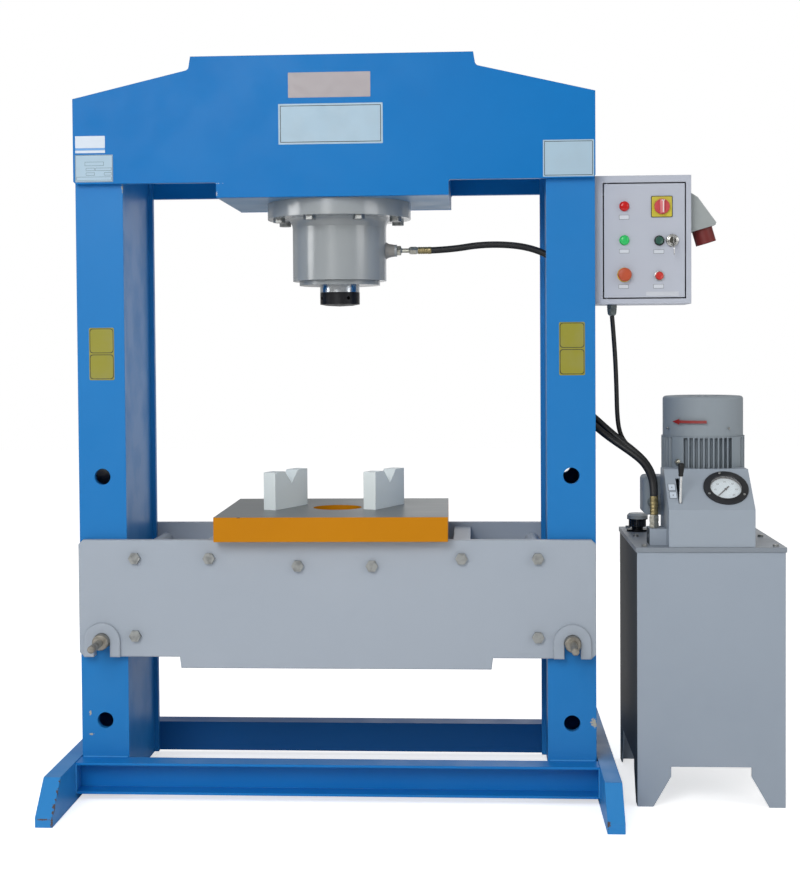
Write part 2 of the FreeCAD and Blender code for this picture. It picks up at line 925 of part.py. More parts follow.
bolts = []
for i, (x, z) in enumerate(bed_bolt_places()):
    reach = 2 * (bed_outside + d.bolt_head)
    rod = cylinder(f"BedBoltRod{i}", d.bolt_diameter, reach, x, bed_outside + d.bolt_head, z, TO_FRONT)
    head = hexagon(f"BedBoltHead{i}", d.bolt_flats, d.bolt_head, x, -bed_outside, z, TO_FRONT)
    nut = hexagon(f"BedBoltNut{i}", d.bolt_flats, d.bolt_head, x, bed_outside, z, TO_BACK)
    bolts.append(fuse(f"BedBolt{i}", [rod, head, nut]))
add_sub_part(group("BedBolts", bolts), "bed_bolts")

gap_between = 2 * (back_face + d.bed_running_gap)
bed_inside = back_face + d.bed_running_gap
spacers = []
for i, (x, z) in enumerate(bed_bolt_places()):
    clear = cylinder(f"SpacerHole{i}", d.bolt_diameter + 2 * d.bolt_play, gap_between + 2,
                     x, bed_inside + 1, z, TO_FRONT)
    if abs(x.value) == d.bolt_middle_x.value:
        top = d.bed_top - d.bar_setdown
        solid = box(f"CrossBar{i}", x - d.bar_width / 2, -bed_inside, top - d.bar_height,
                    d.bar_width, gap_between, d.bar_height)
        spacers.append(cut(f"CrossBarCut{i}", solid, clear))
    else:
        solid = cylinder(f"Spacer{i}", d.spacer_diameter, gap_between, x, bed_inside, z, TO_FRONT)
        spacers.append(cut(f"SpacerCut{i}", solid, clear))
add_sub_part(group("BedSpacers", spacers), "bed_spacers")

# ---------------------------------------------------------------- pins
pin_front = bed_outside + d.pin_front_overhang
pin_length = pin_front + bed_outside + d.pin_rear_overhang
pin_radius = d.pin_diameter / 2
grip_radius = d.pin_grip_diameter / 2
pin_profile = [
    (0, 0), (pin_radius - d.pin_chamfer, 0), (pin_radius, d.pin_chamfer),
    (pin_radius, pin_length - d.pin_chamfer), (pin_radius - d.pin_chamfer, pin_length),
    (grip_radius, pin_length), (grip_radius, pin_length + d.pin_grip_length - d.pin_chamfer),
    (grip_radius - d.pin_chamfer, pin_length + d.pin_grip_length),
    (0, pin_length + d.pin_grip_length),
]
for name, side in (("left", -1), ("right", 1)):
    pin = turned_body(name.title() + "Pin", pin_profile)
    add_sub_part(pin, name + "_pin", side * pin_x, bed_outside + d.pin_rear_overhang,
                 bed_hole_height, TO_FRONT)

# ---------------------------------------------------------------- table, V blocks
table = plate_body(
    "Table", "XY_Plane",
    rectangle(-d.table_width / 2, -d.table_depth / 2, d.table_width / 2, d.table_depth / 2),
    d.table_thickness)
table_hole = new_sketch(table, "TableHole", "XY_Plane")
draw_circle(table_hole, 0, 0, d.table_bore)
add_pocket(table, table_hole)
add_sub_part(table, "table", -d.table_shift_x, -d.table_shift_y, d.bed_top, (Z_AXIS, d.table_turn))

groove = d.block_groove_width / 2
block_half = [
    (0, d.block_height - groove), (groove, d.block_height),
    (d.block_length / 2, d.block_height), (d.block_length / 2, 0),
]
block_outline = [block_half[0], *block_half[1:], *((-size(a), b) for a, b in reversed(block_half[1:]))]
table_top = d.bed_top + d.table_thickness
blocks = []
for name, x, y in (("Left", -d.left_block_x, d.left_block_y), ("Right", d.right_block_x, d.right_block_y)):
    block = plate_body(name + "VBlock", "XZ_Plane", block_outline, d.block_width, both_ways=True)
    blocks.append(place(block, x, y, table_top, (Z_AXIS, d.block_turn)))
add_sub_part(group("VBlocks", blocks), "v_blocks")

# ---------------------------------------------------------------- cylinder
barrel_radius = d.barrel_diameter / 2
flange_radius = d.flange_diameter / 2
flange_bottom = d.drop_underside - d.flange_seam - d.flange_thickness
flange_top = d.drop_underside
bore_radius = d.barrel_bore / 2
barrel_top = d.bore_top + d.barrel_cap
barrel = turned_body("Barrel", [
    (bore_radius, d.barrel_bottom), (barrel_radius, d.barrel_bottom),
    (barrel_radius, flange_bottom), (flange_radius, flange_bottom),
    (flange_radius, flange_top), (barrel_radius, flange_top),
    (barrel_radius, barrel_top), (0, barrel_top), (0, d.bore_top), (bore_radius, d.bore_top),
])
flange_hole = new_sketch(barrel, "FlangeBoltHole", "XY_Plane", flange_bottom - 1)
draw_circle(flange_hole, bolt_circle_x, bolt_circle_y, d.bolt_diameter + 2 * d.bolt_play)
hole_feature = add_pocket(barrel, flange_hole, d.flange_thickness + d.flange_seam + 2, reverse=True)
add_ring_pattern(barrel, hole_feature, d.flange_bolt_count)
wall_overlap = (d.barrel_diameter - d.barrel_bore) / 4
upper_port_height = d.bore_top + d.barrel_cap - d.upper_port_drop
for label, height in (("LowerPort", d.lower_port_height), ("UpperPort", upper_port_height)):
    boss = new_sketch(barrel, label + "Boss", "YZ_Plane", barrel_radius - wall_overlap)
    draw_circle(boss, 0, height, d.port_diameter)
    add_pad(barrel, boss, wall_overlap + d.port_length)
    way_in = d.port_length + barrel_radius - bore_radius + d.port_bore
    port = new_sketch(barrel, label + "Bore", "YZ_Plane", barrel_radius + d.port_length - way_in)
    draw_circle(port, 0, height, d.port_bore)
    add_pocket(barrel, port, way_in + 1, reverse=True)
oil_way = new_sketch(barrel, "UpperOilWay", "XY_Plane", d.bore_top - 1)
draw_circle(oil_way, bore_radius - d.port_bore, 0, d.port_bore - 2)
add_pocket(barrel, oil_way, upper_port_height - d.bore_top + 1, reverse=True)
add_sub_part(barrel, "cylinder_barrel")

gland_bore = d.ram_diameter / 2 + d.running_play
gland_bottom = d.barrel_bottom - d.gland_lip
gland_shoulder = d.barrel_bottom + d.gland_depth
gland_top = gland_shoulder + d.stop_sleeve_length
gland = turned_body("Gland", [
    (gland_bore, gland_bottom), (d.gland_lip_diameter / 2, gland_bottom),
    (d.gland_lip_diameter / 2, d.barrel_bottom), (bore_radius - d.running_play, d.barrel_bottom),
    (bore_radius - d.running_play, gland_shoulder), (d.stop_sleeve_diameter / 2, gland_shoulder),
    (d.stop_sleeve_diameter / 2, gland_top), (gland_bore, gland_top),
])
add_sub_part(gland, "cylinder_gland")

ram_end = gland_bottom - d.ram_show
piston_top = d.bore_top - d.piston_top_gap
piston_bottom = piston_top - d.piston_thickness
nose_radius = d.ram_nose_diameter / 2
ram = turned_body("Ram", [
    (0, ram_end - d.ram_nose_length), (nose_radius, ram_end - d.ram_nose_length),
    (nose_radius, ram_end), (d.ram_diameter / 2, ram_end),
    (d.ram_diameter / 2, piston_bottom), (bore_radius - d.running_play, piston_bottom),
    (bore_radius - d.running_play, piston_top), (0, piston_top),
])
add_sub_part(ram, "ram")

cap_radius = d.ram_diameter / 2
cap_bottom = ram_end - d.cap_length
cap_floor = ram_end - d.ram_nose_length - d.running_play
ram_cap = turned_body("RamCap", [
    (0, cap_bottom - d.cap_crown),
    (cap_radius * d.cap_crown_flat, cap_bottom - d.cap_crown * d.cap_crown_fall),
    (cap_radius, cap_bottom), (cap_radius, ram_end), (nose_radius + d.running_play, ram_end),
    (nose_radius + d.running_play, cap_floor), (0, cap_floor),
])
spanner_hole = new_sketch(ram_cap, "SpannerHole", "YZ_Plane", cap_radius - d.cap_hole_depth)
draw_circle(spanner_hole, 0, ram_end - d.cap_length / 2, d.cap_hole)
add_ring_pattern(ram_cap, add_pocket(ram_cap, spanner_hole, d.cap_hole_depth + 1, reverse=True),
                 d.cap_hole_count)
add_sub_part(ram_cap, "ram_cap", turn=(Z_AXIS, 30))

bolts = []
for k in range(SIZES["flange_bolt_count"]):
    angle = first_bolt_angle * (2 * k + 1)
    x = d.flange_bolt_circle / 2 * cosine(angle)
    y = d.flange_bolt_circle / 2 * sine(angle)
    grip = d.flange_thickness + d.flange_seam + plate_thickness
    shank = cylinder(f"FlangeBoltShank{k}", d.bolt_diameter, grip, x, y, flange_bottom)
    head = hexagon(f"FlangeBoltHead{k}", d.bolt_flats, d.bolt_head, x, y, flange_bottom - d.bolt_head)
    bolts.append(fuse(f"FlangeBolt{k}", [shank, head]))
add_sub_part(group("FlangeBolts", bolts), "flange_bolts")

# ---------------------------------------------------------------- hose ends
lid_top = d.tank_top + d.lid_thickness
block_top = lid_top + d.port_block_height
port_end = barrel_radius + d.port_length


def make_hose_end(name, neck, ferrule, spot, turn=None):
    """Hexagon adapter, neck and swivel nut, with the ferrule on the hose after it."""
    lengths = d.adapter_hex_length + neck + d.swivel_length
    pieces = [
        hexagon(name + "Hex", d.adapter_hex_flats, d.adapter_hex_length),
        cylinder(name + "Neck", d.adapter_neck_diameter, lengths),
        cylinder(name + "Swivel", d.swivel_diameter, d.swivel_length, z=lengths - d.swivel_length),
    ]
    adapter = place(fuse(name + "Adapter", pieces), *spot, turn)
    x, y, z = spot
    far = (size(x) + lengths, y, z) if turn else (x, y, size(z) + lengths)
    crimp = cylinder(name + "Ferrule", d.ferrule_diameter, ferrule, *far, turn)
    end = [size(v).value for v in far]
    end[0 if turn else 2] += ferrule.value
    return adapter, crimp, end


ends = {
    "Lower": make_hose_end("LowerEnd", d.adapter_neck_length, d.ferrule_length,
                           (port_end, 0, d.lower_port_height), TO_RIGHT),
    "Upper": make_hose_end("UpperEnd", d.adapter_neck_length, d.ferrule_length,
                           (port_end, 0, upper_port_height), TO_RIGHT),
    "Supply": make_hose_end("SupplyEnd", size(0), d.long_ferrule,
                            (d.block_port_x, -d.block_port_y, block_top)),
    "Return": make_hose_end("ReturnEnd", size(0), d.long_ferrule,
                            (d.return_port_x, -d.return_port_y, block_top)),
}
fittings = [end[0] for end in ends.values()] + [end[1] for end in ends.values()]
add_sub_part(group("HoseFittings", fittings), "hose_fittings")

ARC_SHARE = 0.45


def make_cord(name, points, diameter):
    """Tube along straight runs joined by tangent arcs as large as the runs allow."""
    corners = [FreeCAD.Vector(*p) for p in points]
    edges = []
    radii = []
    start = corners[0]
    for before, corner, after in zip(corners, corners[1:], corners[2:]):
        arriving = (corner - before).normalize()
        leaving = (after - corner).normalize()
        turn = arriving.getAngle(leaving)
        reach = ARC_SHARE * min((corner - before).Length, (after - corner).Length)
        radii.append(reach / math.tan(turn / 2))
        first = corner - arriving * reach
        last = corner + leaving * reach
        sagitta = (leaving - arriving).normalize()
        bulge = radii[-1] / math.cos(turn / 2) - radii[-1]
        edges.append(Part.LineSegment(start, first).toShape())
        edges.append(Part.Arc(first, corner + sagitta * bulge, last).toShape())
        start = last
    edges.append(Part.LineSegment(start, corners[-1]).toShape())
    path = Part.Wire(edges)
    radius = diameter / 2
    ring = Part.Wire([Part.makeCircle(radius, corners[0], corners[1] - corners[0])])
    tube = path.makePipeShell([ring], True, False)
    share = tube.Volume / (math.pi * radius**2 * path.Length)
    print(f"{name}: length {path.Length:.0f}, least radius {min(radii):.0f}, volume share {share:.4f}")
    feature = doc.addObject("Part::Feature", name)
    feature.Shape = tube
    return feature


lower_end = ends["Lower"][2]
upper_end = ends["Upper"][2]
supply_end = ends["Supply"][2]
return_end = ends["Return"][2]
pressure_route = [
    lower_end, (330, 0, 1567), (420, 0, 1581), (520, -1, 1578), (590, -2, 1560), (640, -5, 1530),
    (668, -10, 1478), (676, -20, 1400), (670, -34, 1300), (664, -50, 1210), (670, -70, 1140),
    (700, -83, 1090), (740, -91, 1050), (776, -100, 1020), (813, -112, 994), (846, -126, 971),
    (872, -143, 949), (886, -162, 926), (893, -179, 904), (896, -191, 881), supply_end,
]
return_route = [
    upper_end, (340, 3, 1960), (430, 9, 1944), (520, 14, 1920), (590, 18, 1896), (640, 22, 1866),
    (667, 28, 1815), (676, 36, 1735), (672, 40, 1640), (665, 42, 1545), (668, 40, 1450),
    (674, 36, 1355), (668, 22, 1270), (664, -2, 1200), (674, -32, 1143), (706, -52, 1104),
    (747, -64, 1069), (781, -73, 1037), (816, -84, 1007), (850, -98, 980), (877, -115, 955),
    (894, -135, 928), (901, -151, 903), (903, -163, 880), return_end,
]
hose_diameter = d.hose_diameter.value
add_sub_part(make_cord("PressureHose", pressure_route, hose_diameter), "pressure_hose")
add_sub_part(make_cord("ReturnHose", return_route, hose_diameter), "return_hose")

port_block = box("PortBlock", d.port_block_left_x, -d.port_block_front_y, lid_top,
                 d.port_block_width, d.port_block_depth, d.port_block_height)
side_port = cylinder("SidePort", d.port_bore, d.port_block_width / 2, d.port_block_left_x - 1,
                     -d.port_block_front_y + d.port_block_depth / 2, lid_top + d.port_block_height / 2,
                     TO_RIGHT)
add_sub_part(cut("PortBlockCut", port_block, side_port), "port_block")

# ---------------------------------------------------------------- switchbox
box_left = column_outer
box_right = box_left + d.box_width
box_back_y = -d.box_front_y + d.box_depth
box_top = d.box_bottom + d.box_height
door_left = box_left + d.door_left_margin
door_right = box_right - d.door_right_margin
door_low = d.box_bottom + d.door_bottom_margin
door_high = box_top - d.door_top_margin
hinge_x = door_left + d.hinge_inset
door_front = -d.box_front_y - d.door_proud
hinge_y = door_front + d.hinge_setback

shell = box("BoxOuter", box_left, -d.box_front_y, d.box_bottom, d.box_width, d.box_depth, d.box_height)
cavity = box("BoxCavity", box_left + d.box_wall, -d.box_front_y + d.box_wall, d.box_bottom + d.box_wall,
             d.box_width - 2 * d.box_wall, d.box_depth - 2 * d.box_wall, d.box_height - 2 * d.box_wall)
doorway = box("Doorway", door_left - d.door_gap, -d.box_front_y - 1, door_low - d.door_gap,
              door_right - door_left + 2 * d.door_gap, d.box_wall + 2, door_high - door_low + 2 * d.door_gap)
cable_hole = cylinder("BoxCableHole", d.cable_diameter + 2, d.box_wall + 2,
                      d.cable_x, -d.cable_y, d.box_bottom - 1)
hollow = cut("BoxShell", shell, fuse("BoxOpenings", [cavity, doorway, cable_hole]))
lug_pieces = [hollow]
lug_holes = []
for label, height in (("Low", door_low - d.door_gap - d.hinge_lug_height), ("High", door_high + d.door_gap)):
    lug_pieces.append(box(f"HingeLug{label}", hinge_x - d.hinge_lug / 2, -d.box_front_y + d.box_wall,
                          height, d.hinge_lug, d.hinge_lug, d.hinge_lug_height))
    lug_holes.append(cylinder(f"HingeHole{label}", d.hinge_pin + 2 * d.hinge_play, d.hinge_lug_height + 2,
                              hinge_x, hinge_y, height - 1))
switchbox = cut("Switchbox", fuse("BoxWithLugs", lug_pieces), fuse("HingeHoles", lug_holes))
add_sub_part(switchbox, "switchbox")

gear_wall = box_back_y - d.box_wall
gear_left = box_left + d.box_width / 2


def gear_box(name, across, up, width, depth, height):
    """Device on the mounting plate, across from its middle and up from the floor of the box."""
    return box(name, gear_left + across, gear_wall - d.gear_plate - depth, d.box_bottom + up,
               width, depth, height)


gear = [
    box("GearPlate", gear_left - d.gear_plate_width / 2, gear_wall - d.gear_plate,
        d.box_bottom + d.gear_margin, d.gear_plate_width, d.gear_plate, d.box_height - 2 * d.gear_margin),
    gear_box("Contactor", -d.gear_offset, d.gear_upper, d.contactor_width, d.contactor_depth,
             d.contactor_height),
    gear_box("OverloadRelay", -d.gear_offset, d.gear_middle, d.contactor_width, d.relay_depth,
             d.relay_height),
    gear_box("Transformer", d.transformer_offset, d.gear_upper, d.transformer_width, d.relay_depth,
             d.contactor_depth),
    gear_box("TerminalStrip", -d.strip_width / 2, d.gear_lower, d.strip_width, d.strip_depth,
             d.strip_height),
]
add_sub_part(group("SwitchGear", gear), "switch_gear")

# ---------------------------------------------------------------- door and controls
controls = {
    "RedLamp": (d.control_left_x, d.lamp_upper_height),
    "GreenLamp": (d.control_left_x, d.lamp_lower_height),
    "StartButton": (d.control_right_x, d.start_height),
    "StopButton": (d.control_right_x, d.stop_height),
    "EmergencyButton": (d.control_left_x, d.emergency_height),
    "Isolator": (d.isolator_x, d.isolator_level),
    "Lock": (d.lock_x, d.start_height),
}
stem_hole = d.stem_diameter + 2 * d.running_play
panel = box("DoorSheet", door_left, door_front, door_low,
            door_right - door_left, d.door_sheet, door_high - door_low)
post = cylinder("HingePost", d.hinge_post, door_high - door_low, hinge_x, hinge_y, door_low)
post_web = box("HingeWeb", hinge_x - d.door_sheet / 2, door_front, door_low,
               d.door_sheet, d.hinge_setback, door_high - door_low)
pin_reach = d.door_gap + d.hinge_lug_height
pivot = cylinder("HingePivot", d.hinge_pin, door_high - door_low + 2 * pin_reach,
                 hinge_x, hinge_y, door_low - pin_reach)
openings = [cylinder(f"{name}Hole", stem_hole, d.door_sheet + 2,
                     x, door_front + d.door_sheet + 1, z, TO_FRONT)
            for name, (x, z) in controls.items()]
door = cut("Door", fuse("DoorBody", [panel, post, post_web, pivot]), fuse("DoorHoles", openings))
add_sub_part(door, "switchbox_door")


def add_control(body, label, name):
    """Places a control that was turned about Z so that it stands out of the door."""
    x, z = controls[name]
    add_sub_part(body, label, x, door_front, z, TO_FRONT)


stem = d.stem_diameter / 2
button = d.button_diameter / 2
lamp_profile = [
    (0, -d.stem_length), (stem, -d.stem_length), (stem, 0), (button, 0),
    (button, d.lamp_height - d.control_edge), (button - d.control_edge, d.lamp_height),
    (0, d.lamp_height),
]
lamps = []
for name in ("RedLamp", "GreenLamp"):
    x, z = controls[name]
    lamps.append(place(turned_body(name, lamp_profile), x, door_front, z, TO_FRONT))
add_sub_part(group("SignalLamps", lamps), "signal_lamps")
button_top = d.button_rest_gap + d.button_height
button_profile = [
    (0, -d.stem_length), (stem, -d.stem_length), (stem, d.button_rest_gap),
    (button, d.button_rest_gap), (button, button_top), (0, button_top),
]
add_control(turned_body("StartButton", button_profile), "start_button", "StartButton")
add_control(turned_body("StopButton", button_profile), "stop_button", "StopButton")
stop_head = d.stop_head_diameter / 2
stop_top = d.stop_head_gap + d.stop_head_height
stop_profile = [
    (0, -d.stem_length), (stem, -d.stem_length), (stem, d.stop_head_gap), (stop_head, d.stop_head_gap),
    (stop_head, stop_top - d.stop_head_edge), (stop_head - d.stop_head_edge, stop_top), (0, stop_top),
]
add_control(turned_body("EmergencyButton", stop_profile), "emergency_button", "EmergencyButton")

bezel_profile = [
    (button + d.running_play, 0), (d.bezel_diameter / 2, 0),
    (d.bezel_diameter / 2, d.bezel_thickness), (button + d.running_play, d.bezel_thickness),
]
collars = []
for name in ("RedLamp", "GreenLamp", "StartButton", "StopButton"):
    x, z = controls[name]
    collars.append(place(turned_body(name + "Bezel", bezel_profile), x, door_front, z, TO_FRONT))
x, z = controls["Isolator"]
half = d.isolator_plate / 2
square = box("IsolatorPlate", x - half, door_front - d.plate_thickness, z - half,
             d.isolator_plate, d.plate_thickness, d.isolator_plate)
square_hole = cylinder("IsolatorPlateHole", stem_hole, d.plate_thickness + 2, x, door_front + 1, z, TO_FRONT)
x, z = controls["EmergencyButton"]
ring = cylinder("StopRing", d.stop_ring_diameter, d.plate_thickness, x, door_front, z, TO_FRONT)
ring_hole = cylinder("StopRingHole", stem_hole, d.plate_thickness + 2, x, door_front + 1, z, TO_FRONT)
collars += [cut("IsolatorSquare", square, square_hole), cut("StopCollar", ring, ring_hole)]
add_sub_part(group("ControlCollars", collars), "control_collars")

isolator_base = d.isolator_gap + d.isolator_height
isolator = fuse("Isolator", [
    cylinder("IsolatorStem", d.stem_diameter, d.stem_length + isolator_base, z=-d.stem_length),
    cylinder("IsolatorDisc", d.isolator_diameter, d.isolator_height, z=d.isolator_gap),
    box("IsolatorGrip", -d.isolator_diameter / 2 + 2, -d.isolator_grip_width / 2, isolator_base - 1,
        d.isolator_diameter - 4, d.isolator_grip_width, d.isolator_grip_height),
])
upright = place(isolator, turn=(Z_AXIS, 90))
add_control(group("IsolatorKnob", [upright]), "isolator_knob", "Isolator")

barrel_hole = d.lock_barrel / 2 + d.running_play
lock_profile = [
    (0, -d.stem_length), (stem, -d.stem_length), (stem, 0), (d.lock_diameter / 2, 0),
    (d.lock_diameter / 2, d.lock_height - d.control_edge),
    (d.lock_diameter / 2 - d.control_edge, d.lock_height),
    (barrel_hole, d.lock_height), (barrel_hole, d.lock_floor), (0, d.lock_floor),
]
add_control(turned_body("KeyLock", lock_profile), "key_lock", "Lock")
key_base = d.lock_height + d.key_rest_gap
key_foot = d.lock_floor + d.running_play
key = fuse("Key", [
    cylinder("KeyBarrel", d.lock_barrel, key_base - key_foot, z=key_foot),
    box("KeyBlade", -d.key_thickness / 2, -d.key_blade / 2, key_base - d.key_blade / 4,
        d.key_thickness, d.key_blade, d.key_blade),
    cylinder("KeyBow", d.key_bow, d.key_thickness, -d.key_thickness / 2, 0,
             key_base + d.key_bow / 2, TO_RIGHT),
])
add_control(group("KeyGroup", [key]), "key", "Lock")

# ---------------------------------------------------------------- supply inlet
inlet_outline = [
    (box_right, d.inlet_top), (box_right + d.inlet_knee_x, d.inlet_top - d.inlet_knee_drop),
    (box_right + d.inlet_reach, d.inlet_corner_height),
    (box_right + d.inlet_reach - d.inlet_lip_setback, d.inlet_lip_height), (box_right, d.inlet_bottom),
]
inlet_y = -d.cable_y
inlet = plate_body("InletHousing", "XZ_Plane", inlet_outline, d.inlet_width, both_ways=True)
add_sub_part(inlet, "inlet_housing", y=inlet_y)
inlet_rise = d.inlet_lip_height - d.inlet_bottom
inlet_run = d.inlet_reach - d.inlet_lip_setback
inlet_tilt = arctangent(inlet_rise, inlet_run)
collar = turned_body("InletSocket", [
    (0, 0), (d.collar_diameter / 2, 0), (d.collar_diameter / 2, d.collar_length),
    (d.collar_bore / 2, d.collar_length), (d.collar_bore / 2, d.collar_floor), (0, d.collar_floor),
])
contact = new_sketch(collar, "Contact", "XY_Plane", d.collar_floor / 2)
draw_circle(contact, d.contact_circle / 2, 0, d.contact_diameter)
add_ring_pattern(collar, add_pad(collar, contact, d.contact_length), d.contact_count)
add_sub_part(collar, "inlet_socket", box_right + d.inlet_socket_x, inlet_y,
             d.inlet_bottom + inlet_rise * d.inlet_socket_x / inlet_run, (Y_AXIS, 180 - inlet_tilt))

# ---------------------------------------------------------------- control cable
terminal_y = d.motor_y
terminal_front = terminal_y - d.terminal_box_width / 2
gland_length = d.gland_hex_length + d.gland_cone_length
cable_in_x = d.terminal_entry_x
cable_in_height = lid_top + d.terminal_entry_height


def make_cable_gland(name, *spot, turn):
    pieces = [
        hexagon(name + "Hex", d.gland_diameter, d.gland_hex_length),
        cone(name + "Cone", d.gland_diameter - 2 * d.gland_cone_step,
             d.cable_diameter + 2 * d.gland_cone_step, d.gland_cone_length,
             z=d.gland_hex_length),
    ]
    way = cylinder(name + "Way", d.cable_diameter, gland_length + 2, z=-1)
    return place(cut(name, fuse(name + "Solid", pieces), way), *spot, turn)


glands = [
    make_cable_gland("BoxGland", d.cable_x, -d.cable_y, d.box_bottom, turn=(X_AXIS, 180)),
    make_cable_gland("MotorGland", cable_in_x, terminal_front, cable_in_height, turn=TO_FRONT),
]
add_sub_part(group("CableGlands", glands), "cable_glands")
cable_start = (d.cable_x.value, -d.cable_y.value, d.box_bottom.value - gland_length.value)
cable_end = (cable_in_x.value, terminal_front.value - gland_length.value, cable_in_height.value)
control_route = [
    cable_start, (794, -100, 1318), (800, -99, 1230), (803, -96, 1145), (805, -88, 1085),
    (811, -74, 1040), (823, -61, 1010), (845, -62, 984), (869, -76, 961), (888, -97, 935),
    (900, -118, 906), (906, -137, 876), (908, -139, 847), (908, -119, 827), cable_end,
]
add_sub_part(make_cord("ControlCable", control_route, d.cable_diameter.value), "control_cable")

# ---------------------------------------------------------------- tank
tank_x = d.tank_left_x + d.tank_width / 2
tank_y = -d.tank_front_y + d.tank_depth / 2


def leg_gap(span):
    foot = span / 2 - d.leg_foot
    top = span / 2 - d.leg_top_width
    wall = d.leg_cut_top - d.leg_cut_wall
    return [(-foot, -1), (foot, -1), (foot, 0), (top, wall), (top, d.leg_cut_top),
            (-top, d.leg_cut_top), (-top, wall), (-foot, 0)]


def inner_rectangle(inset):
    across = d.tank_width / 2 - inset
    deep = d.tank_depth / 2 - inset
    return rectangle(-across, -deep, across, deep)


tank = plate_body("Tank", "XY_Plane", inner_rectangle(0), d.tank_top)
oil_space = new_sketch(tank, "OilSpace", "XY_Plane", d.tank_floor + d.tank_wall)
draw_outline(oil_space, inner_rectangle(d.tank_wall))
add_pocket(tank, oil_space, d.tank_top, reverse=True)
skirt_space = new_sketch(tank, "SkirtSpace", "XY_Plane", -1)
draw_outline(skirt_space, inner_rectangle(d.tank_wall))
add_pocket(tank, skirt_space, d.tank_floor + 1, reverse=True)
for label, plane, span in (("FrontLegs", "XZ_Plane", d.tank_width), ("SideLegs", "YZ_Plane", d.tank_depth)):
    legs = new_sketch(tank, label, plane)
    draw_outline(legs, leg_gap(span))
    add_pocket(tank, legs)
add_sub_part(tank, "tank", tank_x, tank_y)

lid = plate_body("TankLid", "XY_Plane", inner_rectangle(-d.lid_overhang), d.lid_thickness)
lid_holes = new_sketch(lid, "LidHoles", "XY_Plane")
draw_circle(lid_holes, d.motor_x - tank_x, d.motor_y - tank_y, d.lid_shaft_hole)
draw_circle(lid_holes, d.filler_x - tank_x, d.filler_y - tank_y, d.filler_neck_diameter)
add_pocket(lid, lid_holes)
add_sub_part(lid, "tank_lid", tank_x, tank_y, d.tank_top)

screw_x = d.tank_width / 2 + d.lid_overhang - d.lid_screw_inset
screw_y = d.tank_depth / 2 + d.lid_overhang - d.lid_screw_inset
screws = [cylinder(f"LidScrew{i}{j}", d.lid_screw_diameter, d.lid_screw_height,
                   tank_x + i * screw_x, tank_y + j * screw_y, lid_top)
          for i in (-1, 1) for j in (-1, 0, 1)]
add_sub_part(group("LidScrews", screws), "lid_screws")

# ---------------------------------------------------------------- console
console_depth = d.console_front_y - d.console_back_y
slope_rise = d.console_top_height - d.console_bend_height
slope_tilt = arctangent(slope_rise, d.console_slope_depth)
console_side = [
    (-d.console_front_y, 0), (-d.console_front_y, d.console_bend_height),
    (-d.console_front_y + d.console_slope_depth, d.console_top_height),
    (-d.console_back_y, d.console_top_height), (-d.console_back_y, 0),
]
console = plate_body("ConsoleBody", "YZ_Plane", console_side, d.console_width)
add_shell(console, d.console_sheet, lambda face: abs(face.CenterOfMass.z) < 0.1
          or abs(face.CenterOfMass.y + d.console_back_y.value) < 0.1)


def on_panel(across, up, out):
    """Point on the sloping panel: across from its left edge, up from the bend, out of it."""
    y = -d.console_front_y + up * cosine(slope_tilt) - out * sine(slope_tilt)
    z = lid_top + d.console_bend_height + up * sine(slope_tilt) + out * cosine(slope_tilt)
    return d.console_left_x + across, y, z


FACE_OUT = (X_AXIS, slope_tilt)
gauge_across = d.gauge_x - d.console_left_x
slot_across = d.lever_x - d.console_left_x
slot = box("LeverSlot", 0, 0, 0, d.slot_width, d.slot_end - d.slot_start, 4 * d.console_sheet)
place(slot, *on_panel(slot_across - d.slot_width / 2, d.slot_start, -2 * d.console_sheet), FACE_OUT)
gauge_hole = cylinder("GaugeHole", d.gauge_case_diameter + 2 * d.running_play, 4 * d.console_sheet,
                      *on_panel(gauge_across, d.gauge_up, -2 * d.console_sheet), FACE_OUT)
motor_room = cylinder("MotorRoom", d.motor_diameter + 2 * d.motor_room_play, d.motor_height,
                      d.motor_x, d.motor_y, lid_top - 1)
console_shell = place(console, d.console_left_x, 0, lid_top)
console_cover = cut("ConsoleCover", console_shell, fuse("ConsoleCuts", [slot, gauge_hole, motor_room]))
add_sub_part(console_cover, "console_cover")

# ---------------------------------------------------------------- gauge
case_radius = d.gauge_case_diameter / 2
well_radius = d.gauge_dial_diameter / 2 + d.running_play
gauge_spot = on_panel(gauge_across, d.gauge_up, 0)
gauge_case = turned_body("GaugeCase", [
    (0, -d.gauge_case_depth), (case_radius, -d.gauge_case_depth), (case_radius, 0),
    (d.gauge_flange_diameter / 2, 0), (d.gauge_flange_diameter / 2, d.gauge_flange),
    (well_radius, d.gauge_flange), (well_radius, -d.gauge_sink), (0, -d.gauge_sink),
])
add_sub_part(gauge_case, "gauge_case", *gauge_spot, FACE_OUT)
dial_top = d.dial_thickness - d.gauge_sink
dial = cylinder("GaugeDial", d.gauge_dial_diameter, d.dial_thickness, z=-d.gauge_sink)
add_sub_part(group("GaugeDialGroup", [dial]), "gauge_dial", *gauge_spot, FACE_OUT)
glass = cylinder("GaugeGlass", d.gauge_dial_diameter, d.glass_thickness, z=d.glass_height)
add_sub_part(group("GaugeGlassGroup", [glass]), "gauge_glass", *gauge_spot, FACE_OUT)
needle = fuse("Needle", [
    box("NeedleArm", -d.needle_tail, -d.needle_width / 2, dial_top + d.running_play,
        d.needle_tail + d.needle_length, d.needle_width, 1),
    cylinder("NeedleHub", 8, 3, z=dial_top + d.running_play),
])
place(needle, turn=(Z_AXIS, 225))
add_sub_part(group("NeedleGroup", [needle]), "gauge_needle", *gauge_spot, FACE_OUT)

